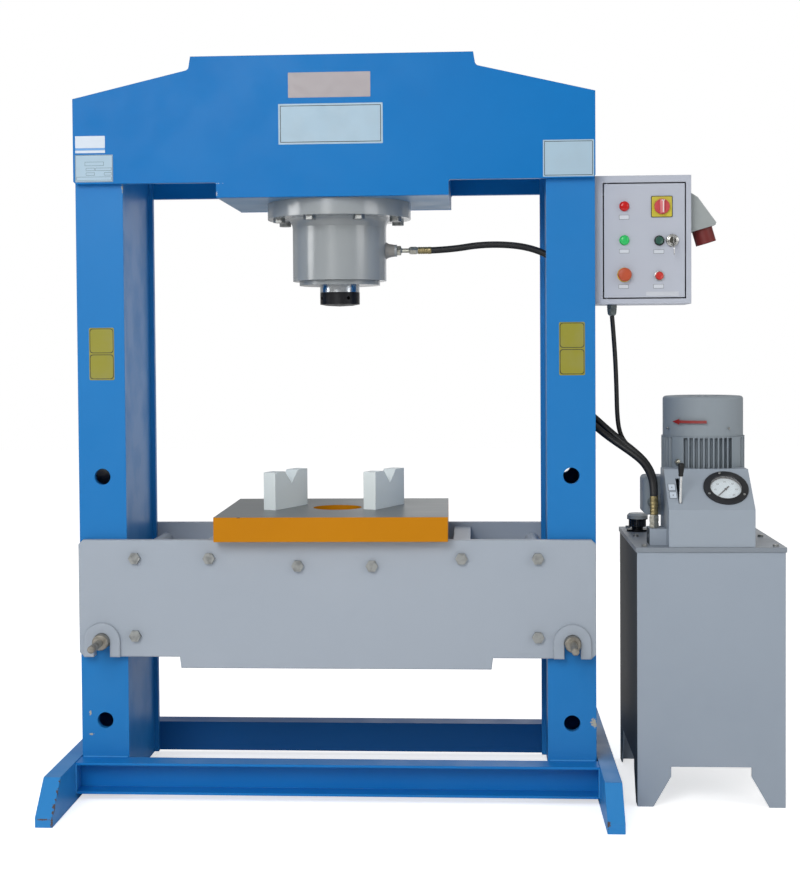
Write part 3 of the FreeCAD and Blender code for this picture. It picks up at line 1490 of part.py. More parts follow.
# ---------------------------------------------------------------- lever valve
pivot_height = lid_top + d.lever_pivot_height
valve_left = d.lever_x + d.lever_hub_width / 2 + d.running_play
valve = box("ValveBody", valve_left, -d.lever_pivot_y - d.valve_front, lid_top,
            d.valve_width, d.valve_depth, d.valve_height)
valve_pin = cylinder("ValvePin", d.lever_pin_diameter, valve_left - d.lever_x + d.lever_hub_width / 2 + 4,
                     d.lever_x - d.lever_hub_width / 2 - 3, -d.lever_pivot_y, pivot_height, TO_RIGHT)
add_sub_part(fuse("LeverValve", [valve, valve_pin]), "lever_valve")
hub_bore = d.lever_pin_diameter + 2 * d.running_play
hub = cylinder("LeverHub", d.lever_hub_diameter, d.lever_hub_width, -d.lever_hub_width / 2, 0, 0, TO_RIGHT)
rod = cylinder("LeverRodBar", d.lever_rod_diameter, d.lever_rod_length)
eye = cylinder("LeverEye", hub_bore, d.lever_hub_width + 2, -d.lever_hub_width / 2 - 1, 0, 0, TO_RIGHT)
lever_spot = (d.lever_x, -d.lever_pivot_y, pivot_height)
lever = cut("LeverRod", fuse("LeverSolid", [hub, rod]), eye)
add_sub_part(lever, "lever_rod", *lever_spot, (X_AXIS, d.lever_lean))
knob = turned_body("LeverKnob", [
    (0, d.lever_rod_length), (d.knob_bottom_diameter / 2, d.lever_rod_length),
    (d.knob_top_diameter / 2, d.lever_rod_length + d.knob_length - d.knob_edge),
    (d.knob_top_diameter / 2 - d.knob_edge, d.lever_rod_length + d.knob_length),
    (0, d.lever_rod_length + d.knob_length),
])
add_sub_part(knob, "lever_knob", *lever_spot, (X_AXIS, d.lever_lean))

# ---------------------------------------------------------------- motor
frame_radius = d.motor_diameter / 2
motor_top = d.motor_height - d.end_disc
fin_start = d.motor_base
fin_length = motor_top - d.motor_base
fins = []
for k in range(SIZES["fin_count"]):
    offset = (k - (d.fin_count - 1) / 2) * d.fin_pitch - d.fin_thickness / 2
    fins.append(box(f"FrontFin{k}", offset, -frame_radius, fin_start,
                    d.fin_thickness, d.motor_diameter, fin_length))
    fins.append(box(f"SideFin{k}", -frame_radius, offset, fin_start,
                    d.motor_diameter, d.fin_thickness, fin_length))
for i in (-1, 1):
    for j in (-1, 1):
        fins.append(box(f"CornerPad{i + 1}{j + 1}",
                        i * frame_radius - (frame_radius - d.corner_pad if i > 0 else size(0)),
                        j * frame_radius - (frame_radius - d.corner_pad if j > 0 else size(0)),
                        fin_start, frame_radius - d.corner_pad, frame_radius - d.corner_pad, fin_length))
envelope = cylinder("FinEnvelope", d.motor_diameter, fin_length, z=fin_start)
ribs = doc.addObject("Part::MultiCommon", "FinRing")
ribs.Shapes = [envelope, fuse("FinPlates", fins)]
spigot = d.fan_cover_diameter - 2 * d.fan_cover_sheet - 2 * d.running_play
solid_frame = fuse("FrameSolid", [
    ribs,
    cylinder("FrameBase", d.motor_diameter, d.motor_base),
    cylinder("FrameCore", d.motor_core_diameter, d.motor_height),
    cylinder("FrameTop", d.motor_diameter, d.end_disc, z=motor_top),
    cylinder("FrameSpigot", spigot, d.spigot_height, z=d.motor_height),
    box("TerminalPad", -frame_radius, d.terminal_pad_inset - d.terminal_box_width / 2,
        d.terminal_box_bottom + d.terminal_pad_inset, frame_radius - d.motor_core_diameter / 2 + 5,
        d.terminal_box_width - 2 * d.terminal_pad_inset,
        d.terminal_box_height - 2 * d.terminal_pad_inset),
])
frame_hollow = fuse("FrameHollow", [
    cylinder("StatorRoom", d.motor_bore, d.motor_height - d.motor_bottom_wall - d.motor_top_wall,
             z=d.motor_bottom_wall),
    cylinder("ShaftHole", d.shaft_diameter + 2 * d.running_play, d.motor_height + 2 * d.spigot_height,
             z=-d.spigot_height / 2),
])
motor_spot = (d.motor_x, d.motor_y, lid_top)
terminal_depth = d.motor_x - frame_radius - d.terminal_box_x
rotor_mid = d.rotor_start + d.rotor_length / 2
stator = turned_body("Stator", [
    (d.rotor_diameter / 2 + d.stator_play, rotor_mid - d.stator_length / 2),
    (d.motor_bore / 2 - d.running_play, rotor_mid - d.stator_length / 2),
    (d.motor_bore / 2 - d.running_play, rotor_mid + d.stator_length / 2),
    (d.rotor_diameter / 2 + d.stator_play, rotor_mid + d.stator_length / 2),
])
motor_frame = group("MotorFrame", [cut("FrameShell", solid_frame, frame_hollow), stator])
add_sub_part(motor_frame, "motor_frame", *motor_spot)
fan_base = d.motor_height + d.fan_clearance
shaft_radius = d.shaft_diameter / 2
shaft_top = fan_base + d.fan_height
shaft = turned_body("MotorShaft", [
    (0, -d.lid_thickness - d.shaft_below_lid), (shaft_radius, -d.lid_thickness - d.shaft_below_lid),
    (shaft_radius, d.rotor_start), (d.rotor_diameter / 2, d.rotor_start),
    (d.rotor_diameter / 2, d.rotor_start + d.rotor_length), (shaft_radius, d.rotor_start + d.rotor_length),
    (shaft_radius, shaft_top), (0, shaft_top),
])
add_sub_part(shaft, "motor_shaft", *motor_spot)

fan_radius = d.fan_diameter / 2
fan = turned_body("MotorFan", [
    (shaft_radius, fan_base), (fan_radius, fan_base), (fan_radius, fan_base + d.fan_disc),
    (d.fan_hub_diameter / 2, fan_base + d.fan_disc), (d.fan_hub_diameter / 2, shaft_top),
    (shaft_radius, shaft_top),
])
blade = new_sketch(fan, "FanBlade", "XY_Plane", fan_base)
draw_outline(blade, rectangle(d.fan_hub_diameter / 2 - 3, -d.fan_blade_thickness / 2,
                              fan_radius, d.fan_blade_thickness / 2))
add_ring_pattern(fan, add_pad(fan, blade, d.fan_height), d.fan_blades)
add_sub_part(fan, "motor_fan", *motor_spot)

cover_top = d.motor_height + d.fan_cover_height
cover_radius = d.fan_cover_diameter / 2
cover_inside = cover_radius - d.fan_cover_sheet
cover = turned_body("FanCover", [
    (cover_inside, d.motor_height), (cover_radius, d.motor_height), (cover_radius, cover_top),
    (0, cover_top), (0, cover_top - d.fan_cover_sheet), (cover_inside, cover_top - d.fan_cover_sheet),
])


def cover_edge(edge, radius, height):
    long_enough = edge.Length > 6 * radius.value
    return long_enough and abs(edge.CenterOfMass.z - height.value) < 0.1


add_fillet(cover, d.fan_cover_fillet, lambda e: cover_edge(e, cover_radius, cover_top))
add_fillet(cover, d.fan_cover_fillet - d.fan_cover_sheet,
           lambda e: cover_edge(e, cover_inside, cover_top - d.fan_cover_sheet))
vent = new_sketch(cover, "Vent", "XY_Plane", cover_top - 2 * d.fan_cover_sheet)
draw_outline(vent, rectangle(d.vent_inner, -d.vent_width / 2, d.vent_outer, d.vent_width / 2))
add_ring_pattern(cover, add_pocket(cover, vent, 3 * d.fan_cover_sheet, reverse=True), d.vent_count)
add_sub_part(cover, "fan_cover", *motor_spot)

terminal = plate_body("TerminalBox", "YZ_Plane", rectangle(
    -d.terminal_box_width / 2, d.terminal_box_bottom,
    d.terminal_box_width / 2, d.terminal_box_bottom + d.terminal_box_height), terminal_depth)
add_fillet(terminal, d.terminal_box_round, lambda e: abs(e.CenterOfMass.x) < 0.1)
add_sub_part(terminal, "terminal_box", d.terminal_box_x, d.motor_y, lid_top)

# ---------------------------------------------------------------- pump inside the tank
bell = cut("PumpBell", cylinder("BellOuter", d.bell_diameter, d.bell_height, z=-d.bell_height),
           cylinder("BellBore", d.bell_diameter - 2 * d.bell_wall, d.bell_height - d.bell_wall + 1,
                    z=d.bell_wall - d.bell_height))
gears = box("PumpBlock", -d.pump_width / 2, -d.pump_width / 2, -d.bell_height - d.pump_height,
            d.pump_width, d.pump_width, d.pump_height)
suction = cylinder("SuctionPipe", d.suction_diameter, d.suction_length,
                   z=-d.bell_height - d.pump_height - d.suction_length)
add_sub_part(fuse("GearPump", [bell, gears, suction]), "gear_pump", d.motor_x, d.motor_y, d.tank_top)

# ---------------------------------------------------------------- filler
neck_radius = d.filler_neck_diameter / 2
neck_bore = d.filler_neck_bore / 2
neck_top = d.filler_flange + d.filler_neck_height
lid_play = d.running_play
neck = turned_body("FillerNeck", [
    (neck_bore, -d.lid_thickness), (neck_radius - lid_play, -d.lid_thickness),
    (neck_radius - lid_play, 0), (d.filler_flange_diameter / 2, 0),
    (d.filler_flange_diameter / 2, d.filler_flange), (neck_radius, d.filler_flange),
    (neck_radius, neck_top), (neck_bore, neck_top),
])
filler_spot = (d.filler_x, d.filler_y, lid_top)
add_sub_part(neck, "filler_neck", *filler_spot)
rim_start = d.filler_flange + d.filler_rim_gap
rim_end = rim_start + d.filler_rim_height
top_radius = d.filler_top_diameter / 2
filler_cap = turned_body("FillerCap", [
    (neck_radius + d.running_play, rim_start), (d.filler_rim_diameter / 2, rim_start),
    (d.filler_rim_diameter / 2, rim_end), (top_radius, rim_end),
    (top_radius, rim_end + d.filler_top_height - d.filler_top_round),
    (top_radius - d.filler_top_round, rim_end + d.filler_top_height),
    (0, rim_end + d.filler_top_height), (0, neck_top + d.running_play),
    (neck_radius + d.running_play, neck_top + d.running_play),
])
knurl = new_sketch(filler_cap, "Knurl", "XY_Plane", rim_start - 1)
draw_circle(knurl, d.filler_rim_diameter / 2 + 1, 0, d.filler_knurl_diameter)
knurl_cut = add_pocket(filler_cap, knurl, d.filler_rim_height + 1, reverse=True)
add_ring_pattern(filler_cap, knurl_cut, d.filler_knurls)
add_sub_part(filler_cap, "filler_cap", *filler_spot)

# ---------------------------------------------------------------- checks and files
doc.recompute()
for thing in doc.Objects:
    if "Invalid" in thing.State or "Error" in thing.State:
        raise RuntimeError(f"{thing.Name} could not be built")
for sub_part in SUB_PARTS:
    shape = sub_part.Shape
    if shape.isNull() or not shape.isValid():
        raise RuntimeError(f"{sub_part.Label} has no valid shape")
os.makedirs("parts", exist_ok=True)
for sub_part in SUB_PARTS:
    sub_part.Shape.exportStep(f"parts/{sub_part.Label}.step")
print(f"{len(SUB_PARTS)} sub-parts written")
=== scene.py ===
"""Looks of a hydraulic workshop press with its pump unit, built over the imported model."""
import math

import bmesh
import bpy
from mathutils import Matrix, Vector


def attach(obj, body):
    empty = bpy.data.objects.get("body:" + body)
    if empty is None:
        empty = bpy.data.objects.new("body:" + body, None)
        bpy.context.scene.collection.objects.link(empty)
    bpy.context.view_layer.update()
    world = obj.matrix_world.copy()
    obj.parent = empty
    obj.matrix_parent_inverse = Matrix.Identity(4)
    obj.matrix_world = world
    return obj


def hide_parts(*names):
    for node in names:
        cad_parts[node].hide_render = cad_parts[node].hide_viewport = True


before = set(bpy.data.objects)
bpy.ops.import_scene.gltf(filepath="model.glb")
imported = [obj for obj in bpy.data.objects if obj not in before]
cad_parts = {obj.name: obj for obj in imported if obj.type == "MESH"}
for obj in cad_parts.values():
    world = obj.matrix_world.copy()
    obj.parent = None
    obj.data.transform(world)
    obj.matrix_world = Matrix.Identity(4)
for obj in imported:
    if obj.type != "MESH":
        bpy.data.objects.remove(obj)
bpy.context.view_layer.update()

# ------------------------------------------------------------------ camera
# A long lens at chest height, a little right of the press's middle, looks
# at the front almost square on. The press fills the height of the picture.
bpy.context.scene.view_settings.view_transform = "Standard"
photo_width = 800
lens_pixels = 1514
lens_place = (0.165, -4.471, 1.269)
yaw, pitch, roll = math.radians(3.346), math.radians(-1.67), math.radians(0.399)
aim = (Matrix.Rotation(yaw, 3, "Z") @ Matrix.Rotation(pitch, 3, "X")
       @ Matrix.Rotation(roll, 3, "Y"))
right, ahead, up = aim.col
camera = bpy.data.cameras.new("Camera")
camera.sensor_fit = "HORIZONTAL"
camera.sensor_width = 36
camera.lens = lens_pixels / photo_width * camera.sensor_width
camera.shift_x = 0.0165
camera.shift_y = -0.0646
camera.clip_end = 60
viewpoint = bpy.data.objects.new("Viewpoint", camera)
viewpoint.matrix_world = (Matrix.Translation(lens_place)
                          @ Matrix((right, up, -ahead)).transposed().to_4x4())
bpy.context.scene.collection.objects.link(viewpoint)
bpy.context.scene.camera = viewpoint

# ------------------------------------------------------------------ studio
# A wide flat white floor under a plain white sky, lit by a broad soft light at
# the front left, one at each side, one overhead and a weak one behind.
def linear(colour):
    """Six hex digits as the light they stand for."""
    parts = [int(colour[k:k + 2], 16) / 255 for k in (0, 2, 4)]
    return [p / 12.92 if p <= 0.04045 else ((p + 0.055) / 1.055) ** 2.4 for p in parts]


def new_finish(name, colour, roughness, metallic=0.0):
    """A material of one plain colour, given as six hex digits."""
    made = bpy.data.materials.new(name)
    made.use_nodes = True
    shader = made.node_tree.nodes["Principled BSDF"]
    light = linear(colour)
    shader.inputs["Base Color"].default_value = (*light, 1)
    shader.inputs["Roughness"].default_value = roughness
    shader.inputs["Metallic"].default_value = metallic
    made.diffuse_color = (*light, 1)
    return made


def deselect_all():
    """Leaves object mode with nothing selected."""
    if bpy.context.object and bpy.context.object.mode == "EDIT":
        bpy.ops.object.mode_set(mode="OBJECT")
    bpy.ops.object.select_all(action="DESELECT")


deselect_all()
bpy.ops.mesh.primitive_plane_add(size=30, location=(0, 0, 0))
floor = bpy.context.object
floor.name = "Floor"
floor_white = new_finish("FloorWhite", "FAFAFA", 0.7)
floor_nodes, floor_links = floor_white.node_tree.nodes, floor_white.node_tree.links
glow = floor_nodes.new("ShaderNodeEmission")
glow.inputs["Strength"].default_value = 0.62
looked_at = floor_nodes.new("ShaderNodeLightPath")
hint = floor_nodes.new("ShaderNodeMixShader")
paper = floor_nodes.new("ShaderNodeAddShader")
floor_links.new(looked_at.outputs["Is Camera Ray"], hint.inputs[0])
floor_links.new(glow.outputs[0], hint.inputs[2])
floor_links.new(floor_nodes["Principled BSDF"].outputs[0], paper.inputs[0])
floor_links.new(hint.outputs[0], paper.inputs[1])
floor_links.new(paper.outputs[0], floor_nodes["Material Output"].inputs["Surface"])
floor.data.materials.append(floor_white)
for name, place, turn, size, power in (
        ("KeyLight", (-1.6, -5.2, 3.6), (60, 0, -17), (3.0, 3.0), 150),
        ("RightLight", (4.4, -3.0, 2.6), (68, 0, 58), (2.4, 2.4), 34),
        ("LeftLight", (-4.6, -1.5, 2.03), (80, 0, -71), (1.8, 0.8), 20),
        ("TopLight", (0, 1.2, 5.0), (0, 0, 0), (3.2, 3.2), 25),
        ("BackLight", (0.9, 4.6, 1.5), (-90, 0, 0), (3.0, 3.0), 12)):
    lamp = bpy.data.lights.new(name, "AREA")
    lamp.shape = "ELLIPSE"
    lamp.size, lamp.size_y = size
    lamp.energy = power
    holder = bpy.data.objects.new(name, lamp)
    holder.location = place
    holder.rotation_euler = [math.radians(a) for a in turn]
    holder.visible_camera = False
    bpy.context.scene.collection.objects.link(holder)
sky = bpy.data.worlds.new("Studio")
sky.use_nodes = True
sky_nodes, sky_links = sky.node_tree.nodes, sky.node_tree.links
faint = sky_nodes["Background"]
faint.inputs["Color"].default_value = (1, 1, 1, 1)
faint.inputs["Strength"].default_value = 0.45
white = sky_nodes.new("ShaderNodeBackground")
white.inputs["Color"].default_value = (1, 1, 1, 1)
seen = sky_nodes.new("ShaderNodeLightPath")
shown = sky_nodes.new("ShaderNodeMixShader")
sky_links.new(seen.outputs["Is Camera Ray"], shown.inputs[0])
sky_links.new(faint.outputs[0], shown.inputs[1])
sky_links.new(white.outputs[0], shown.inputs[2])
sky_links.new(shown.outputs[0], sky_nodes["World Output"].inputs["Surface"])
bpy.context.scene.world = sky

# ------------------------------------------------------------------ hoses and cable
# Two steel-braided hydraulic hoses in black rubber run from the block on the tank's
# lid up through the right column to the cylinder. A thin black cable joins the
# switch box and the motor.
hose_diameter = 0.0195
cable_diameter = 0.013
ram_axis = 233


def at(x, y, z):
    """A point given in millimetres from the ram's axis, its middle plane and the floor."""
    return Vector(((x - ram_axis) / 1000, y / 1000, z / 1000))


def lay_cord(name, node, route, diameter, skin):
    """A round cord along its route, given in millimetres of the press's own frame."""
    points = [at(*spot) for spot in route]
    line = bpy.data.curves.new(name, "CURVE")
    line.dimensions = "3D"
    line.bevel_depth = diameter / 2
    line.bevel_resolution = 6
    line.resolution_u = 10
    line.use_fill_caps = True
    spline = line.splines.new("NURBS")
    spline.points.add(len(points) - 1)
    for spot, place in zip(spline.points, points):
        spot.co = (*place, 1)
    spline.order_u = 3
    spline.use_endpoint_u = True
    cord = bpy.data.objects.new(name, line)
    bpy.context.scene.collection.objects.link(cord)
    line.materials.append(skin)
    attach(cord, "frame")
    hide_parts(node)


rubber = new_finish("HoseRubber", "0A0B0D", 0.5)
cable_skin = new_finish("CableSkin", "08090A", 0.48)
lay_cord("PressureHose", "pressure_hose", [
    (271, 0, 1565), (330, 0, 1567), (420, 0, 1581), (520, -1, 1578), (590, -2, 1560),
    (640, -5, 1530), (668, -10, 1478), (676, -20, 1400), (670, -34, 1300), (664, -50, 1210),
    (670, -70, 1140), (700, -83, 1090), (740, -91, 1050), (776, -100, 1020), (813, -112, 994),
    (846, -126, 971), (872, -143, 949), (886, -162, 926), (893, -179, 904), (896, -191, 881),
    (896, -195, 857)],
    diameter=hose_diameter, skin=rubber)
lay_cord("ReturnHose", "return_hose", [
    (271, 0, 1965), (340, 3, 1960), (430, 9, 1944), (520, 14, 1920), (590, 18, 1896),
    (640, 22, 1866), (667, 28, 1815), (676, 36, 1735), (672, 40, 1640), (665, 42, 1545),
    (668, 40, 1450), (674, 36, 1355), (668, 22, 1270), (664, -2, 1200), (674, -32, 1143),
    (706, -52, 1104), (747, -64, 1069), (781, -73, 1037), (816, -84, 1007), (850, -98, 980),
    (877, -115, 955), (894, -135, 928), (901, -151, 903), (903, -163, 880), (902, -166, 857)],
    diameter=hose_diameter, skin=rubber)
lay_cord("ControlCable", "control_cable", [
    (790, -100, 1366), (794, -100, 1318), (800, -99, 1230), (803, -96, 1145), (805, -88, 1085),
    (811, -74, 1040), (823, -61, 1010), (845, -62, 984), (869, -76, 961), (888, -97, 935),
    (900, -118, 906), (906, -137, 876), (908, -139, 847), (908, -119, 827), (908, -91, 827)],
    diameter=cable_diameter, skin=cable_skin)

# ------------------------------------------------------------------ press frame
# Two box columns, a peaked head, two rails and two long feet, cut from thick
# steel plate, welded, and sprayed bright blue over filler.
def object_place(made):
    """The object coordinates of a finish."""
    nodes = made.node_tree.nodes
    return (nodes.get("Texture Coordinate") or nodes.new("ShaderNodeTexCoord")).outputs["Object"]


def true_normal(made):
    """The way a finish's surface faces, before any smoothing."""
    return made.node_tree.nodes.new("ShaderNodeNewGeometry").outputs["True Normal"]


def axis_of(made, vector, axis):
    """How far a vector goes along one axis."""
    parts = made.node_tree.nodes.new("ShaderNodeSeparateXYZ")
    made.node_tree.links.new(vector, parts.inputs[0])
    return parts.outputs[axis]


def between(made, value, low, high):
    """A mask that goes from 0 to 1 as a value goes from low to high."""
    limit = made.node_tree.nodes.new("ShaderNodeMapRange")
    limit.inputs["From Min"].default_value = low
    limit.inputs["From Max"].default_value = high
    made.node_tree.links.new(value, limit.inputs["Value"])
    return limit.outputs["Result"]


def patches(made, scale, low, high, detail=4, stretch=(1, 1, 1)):
    """A mask of soft patches, 0 below low and 1 above high of a noise."""
    nodes, links = made.node_tree.nodes, made.node_tree.links
    spread = nodes.new("ShaderNodeMapping")
    spread.inputs["Scale"].default_value = stretch
    links.new(object_place(made), spread.inputs["Vector"])
    noise = nodes.new("ShaderNodeTexNoise")
    noise.inputs["Scale"].default_value = scale
    noise.inputs["Detail"].default_value = detail
    links.new(spread.outputs["Vector"], noise.inputs["Vector"])
    return between(made, noise.outputs["Fac"], low, high)


def lay_over(made, mask, colour=None, roughness=None, metallic=None, strength=1.0):
    """Lays a colour, a roughness or a bare metal over a finish where the mask is 1."""
    nodes, links = made.node_tree.nodes, made.node_tree.links
    share = nodes.new("ShaderNodeMath")
    share.operation = "MULTIPLY"
    share.inputs[1].default_value = strength
    links.new(mask, share.inputs[0])
    for name, value in (("Base Color", colour), ("Roughness", roughness), ("Metallic", metallic)):
        if value is None:
            continue
        socket = nodes["Principled BSDF"].inputs[name]
        mix = nodes.new("ShaderNodeMix")
        first, second, result = 2, 3, 0
        if name == "Base Color":
            mix.data_type = "RGBA"
            first, second, result = 6, 7, 2
            value = (*linear(value), 1)
        if socket.is_linked:
            links.new(socket.links[0].from_socket, mix.inputs[first])
        else:
            mix.inputs[first].default_value = socket.default_value
        mix.inputs[second].default_value = value
        links.new(share.outputs[0], mix.inputs[0])
        links.new(mix.outputs[result], socket)


def soften(made, radius, grain_scale, grain):
    """Rounds a finish's edges in its shading, and gives it a fine grain."""
    nodes, links = made.node_tree.nodes, made.node_tree.links
    bevel = nodes.new("ShaderNodeBevel")
    bevel.samples = 4
    bevel.inputs["Radius"].default_value = radius
    noise = nodes.new("ShaderNodeTexNoise")
    noise.inputs["Scale"].default_value = grain_scale
    links.new(object_place(made), noise.inputs["Vector"])
    bump = nodes.new("ShaderNodeBump")
    bump.inputs["Strength"].default_value = grain
    bump.inputs["Distance"].default_value = 0.001
    links.new(noise.outputs["Fac"], bump.inputs["Height"])
    links.new(bevel.outputs["Normal"], bump.inputs["Normal"])
    links.new(bump.outputs["Normal"], nodes["Principled BSDF"].inputs["Normal"])
    return bevel


def edges(made, bevel, low, high):
    """A mask of a finish's sharp edges, from its rounded and its true normals."""
    nodes, links = made.node_tree.nodes, made.node_tree.links
    dot = nodes.new("ShaderNodeVectorMath")
    dot.operation = "DOT_PRODUCT"
    links.new(bevel.outputs["Normal"], dot.inputs[0])
    links.new(true_normal(made), dot.inputs[1])
    return between(made, dot.outputs["Value"], high, low)


def joined(made, first, second, how="MULTIPLY"):
    """Two masks as one: MULTIPLY where both are, MAXIMUM where either is."""
    both = made.node_tree.nodes.new("ShaderNodeMath")
    both.operation = how
    made.node_tree.links.new(first, both.inputs[0])
    made.node_tree.links.new(second, both.inputs[1])
    return both.outputs[0]


def chips(made, spots):
    """A mask of small ragged marks, given as press millimetres, radius and share of height."""
    nodes, links = made.node_tree.nodes, made.node_tree.links
    raggedness, untouched, bare = 1.6, 1.5, 1.35
    ragged = nodes.new("ShaderNodeTexNoise")
    ragged.inputs["Scale"].default_value = 260
    links.new(object_place(made), ragged.inputs["Vector"])
    mask = None
    for spot, radius, tall in spots:
        move = nodes.new("ShaderNodeMapping")
        move.vector_type = "TEXTURE"
        move.inputs["Location"].default_value = at(*spot)
        move.inputs["Scale"].default_value = (radius / 1000, radius / 1000, radius * tall / 1000)
        links.new(object_place(made), move.inputs["Vector"])
        reach = nodes.new("ShaderNodeVectorMath")
        reach.operation = "LENGTH"
        links.new(move.outputs["Vector"], reach.inputs[0])
        uneven = nodes.new("ShaderNodeMath")
        uneven.operation = "MULTIPLY_ADD"
        uneven.inputs[1].default_value = raggedness
        links.new(ragged.outputs["Fac"], uneven.inputs[0])
        links.new(reach.outputs["Value"], uneven.inputs[2])
        chip = between(made, uneven.outputs[0], untouched, bare)
        mask = joined(made, mask, chip, "MAXIMUM") if mask else chip
    return mask


def paint(name, colour, shade, light, gloss=0.35, worn="6B6E72", wear_and_highlight_strength=0.5, marks=(), mark="3A3632",
          shine=0.3, rounding=0.0022):
    """Sprayed paint with faint patches, orange peel, tinted edges and a few chips. A dark edge tint
    is rubbed wear, a light one a painted highlight; a long thin light chip can be a painted
    highlight too.
    """
    made = new_finish(name, colour, gloss)
    made.node_tree.nodes["Principled BSDF"].inputs["Specular IOR Level"].default_value = shine
    lay_over(made, patches(made, 1.6, 0.42, 0.72), colour=shade, strength=0.5)
    lay_over(made, patches(made, 3.1, 0.5, 0.8), colour=light, strength=0.35)
    lay_over(made, patches(made, 9, 0.4, 0.7), roughness=gloss + 0.14, strength=0.8)
    bevel = soften(made, rounding, 160, 0.06)
    rubbed_and_lit_edges = joined(made, edges(made, bevel, 0.80, 0.93), patches(made, 14, 0.56, 0.66))
    lay_over(made, rubbed_and_lit_edges, colour=worn, roughness=0.5, strength=wear_and_highlight_strength)
    if marks:
        lay_over(made, chips(made, marks), colour=mark, roughness=0.6)
    return made


def give_finish(finish, *names):
    """Gives CAD nodes a finish."""
    for name in names:
        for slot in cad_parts[name].material_slots:
            slot.material = finish


column_marks = [((-594, -211, 1738), 11, 2.0), ((-708, -210, 176), 11, 0.35),
                ((-710, -210, 237), 4, 3.0), ((727, -210, 219), 12, 1.5)]
column_blue = paint("ColumnBlue", "2078BC", "1A70B4", "3585C6", marks=column_marks, mark="A9A79A",
                    shine=0.2)
give_finish(column_blue, "left_column", "right_column")
# The long thin light mark along the head plate's lower edge is a painted highlight; the small one
# marks a weld spur.
head_highlight_and_marks = [((-415, -238, 1744), 140, 0.018), ((-326, -238, 1715), 9, 1.6)]
head_blue = paint("HeadBlue", "0671B8", "0468AE", "1679BF", marks=head_highlight_and_marks, mark="B4BCC0",
                  shine=0.14)
give_finish(head_blue, "head_front_plate", "head_rear_plate", "head_ribs")
rail_blue = paint("RailBlue", "1277C2", "0E6CB6", "2B86CC", shine=0.2)
# Painted shade: the rear rail, behind the middle plane, is darkened to a deep blue.
rear_rail_shade = between(rail_blue, axis_of(rail_blue, object_place(rail_blue), "Y"), -0.05, 0.05)
lay_over(rail_blue, rear_rail_shade, colour="06427C", strength=0.8)
give_finish(rail_blue, "base_rails")
foot_marks = [((-737, -436, 104), 7, 1.6), ((-737, -458, 83), 8, 2.6), ((-737, -476, 65), 6, 1.2),
              ((-737, -490, 51), 10, 2.4), ((-737, -504, 38), 7, 2.2), ((-737, -515, 16), 8, 3.2),
              ((-752, -508, 97), 6, 0.8), ((-739, -514, 70), 4, 9.0), ((-762, -515, 22), 24, 0.14),
              ((741, -514, 32), 8, 3.0)]
foot_blue = paint("FootBlue", "2C84C8", "1F7AC0", "4896D2", worn="3B3A3C", wear_and_highlight_strength=0.9,
                  marks=foot_marks, mark="5A4B48")
give_finish(foot_blue, "left_foot", "right_foot")
plate_blue = paint("PlateBlue", "688FB0", "5D83A5", "7B9CBC")
give_finish(plate_blue, "cylinder_plate")

# ------------------------------------------------------------------ plates and stickers
# Thin printed plates and film stickers, left bare: two on the head's middle,
# one at its right end, a sticker over a plate at its left end, and a twin
# yellow one on each column.
def keep_shape(name, finish, place=None):
    """Names the shape in hand, gives it a finish and sets its place in its mesh."""
    made = bpy.context.object
    if place:
        made.matrix_world = place
    bpy.ops.object.transform_apply(location=True, rotation=True, scale=True)
    made.name = name
    made.data.name = name
    made.data.materials.clear()
    made.data.materials.append(finish)
    return made


def pick(made, kind, wanted):
    """In edit mode, selects the edges or faces that wanted says yes to."""
    bpy.ops.mesh.select_mode(type=kind)
    bpy.ops.mesh.select_all(action="DESELECT")
    shape = bmesh.from_edit_mesh(made.data)
    for item in (shape.edges if kind == "EDGE" else shape.faces):
        if wanted(item):
            item.select_set(True)
    bmesh.update_edit_mesh(made.data)


def slab(name, low, high, edge, finish, along=None, steps=2):
    """A block between two corners in press millimetres, with all its edges rounded or
    only those along one axis."""
    deselect_all()
    near, far = at(*low), at(*high)
    bpy.ops.mesh.primitive_cube_add(size=1, location=(near + far) / 2, scale=far - near)
    made = keep_shape(name, finish)
    bpy.ops.object.mode_set(mode="EDIT")
    pick(made, "EDGE", lambda e: along is None
         or abs((e.verts[0].co - e.verts[1].co).normalized()[along]) > 0.9)
    bpy.ops.mesh.bevel(offset=edge / 1000, segments=steps, affect="EDGES")
    bpy.ops.object.mode_set(mode="OBJECT")
    bpy.ops.object.shade_smooth_by_angle(angle=math.radians(35))
    return made


def join(name, *parts):
    """Several shapes as one piece."""
    deselect_all()
    for part in parts:
        part.select_set(True)
    bpy.context.view_layer.objects.active = parts[0]
    bpy.ops.object.join()
    parts[0].name = name
    parts[0].data.name = name
    return parts[0]


def fit(piece, body, slot_name, *nodes):
    """The piece rides on a body and stands for CAD nodes, which it hides; its slot name is not
    used.
    """
    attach(piece, body)
    if nodes:
        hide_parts(*nodes)


def film(name, colour, gloss=0.4):
    """Printed film: one colour, a little dirt, and its own sheen."""
    made = new_finish(name, colour, gloss)
    lay_over(made, patches(made, 12, 0.45, 0.75), colour="8E9090", strength=0.14)
    lay_over(made, patches(made, 40, 0.4, 0.7), roughness=gloss + 0.15)
    return made


def bare_plate(name, span, face, ground, line=None, inset=0, width=0, corner=1.5, lift=0.5):
    """A bare plate on a front face. Its span is left, right, low and high. A line, set in
    from its edge, is a frame of that width, or fills the plate if no width is given."""
    left, right, low, high = span
    film_layer, least_corner = 0.15, 0.3
    parts = [slab(name, (left, face - lift, low), (right, face, high), corner, ground, along=1)]
    layers = [(0, line)] if line else []
    if width:
        layers.append((width, ground))
    for step, finish in layers:
        shift = inset + step
        lift += film_layer
        parts.append(slab(name + str(step), (left + shift, face - lift, low + shift),
                          (right - shift, face, high - shift), max(corner - step, least_corner),
                          finish, along=1))
    return join(name, *parts)


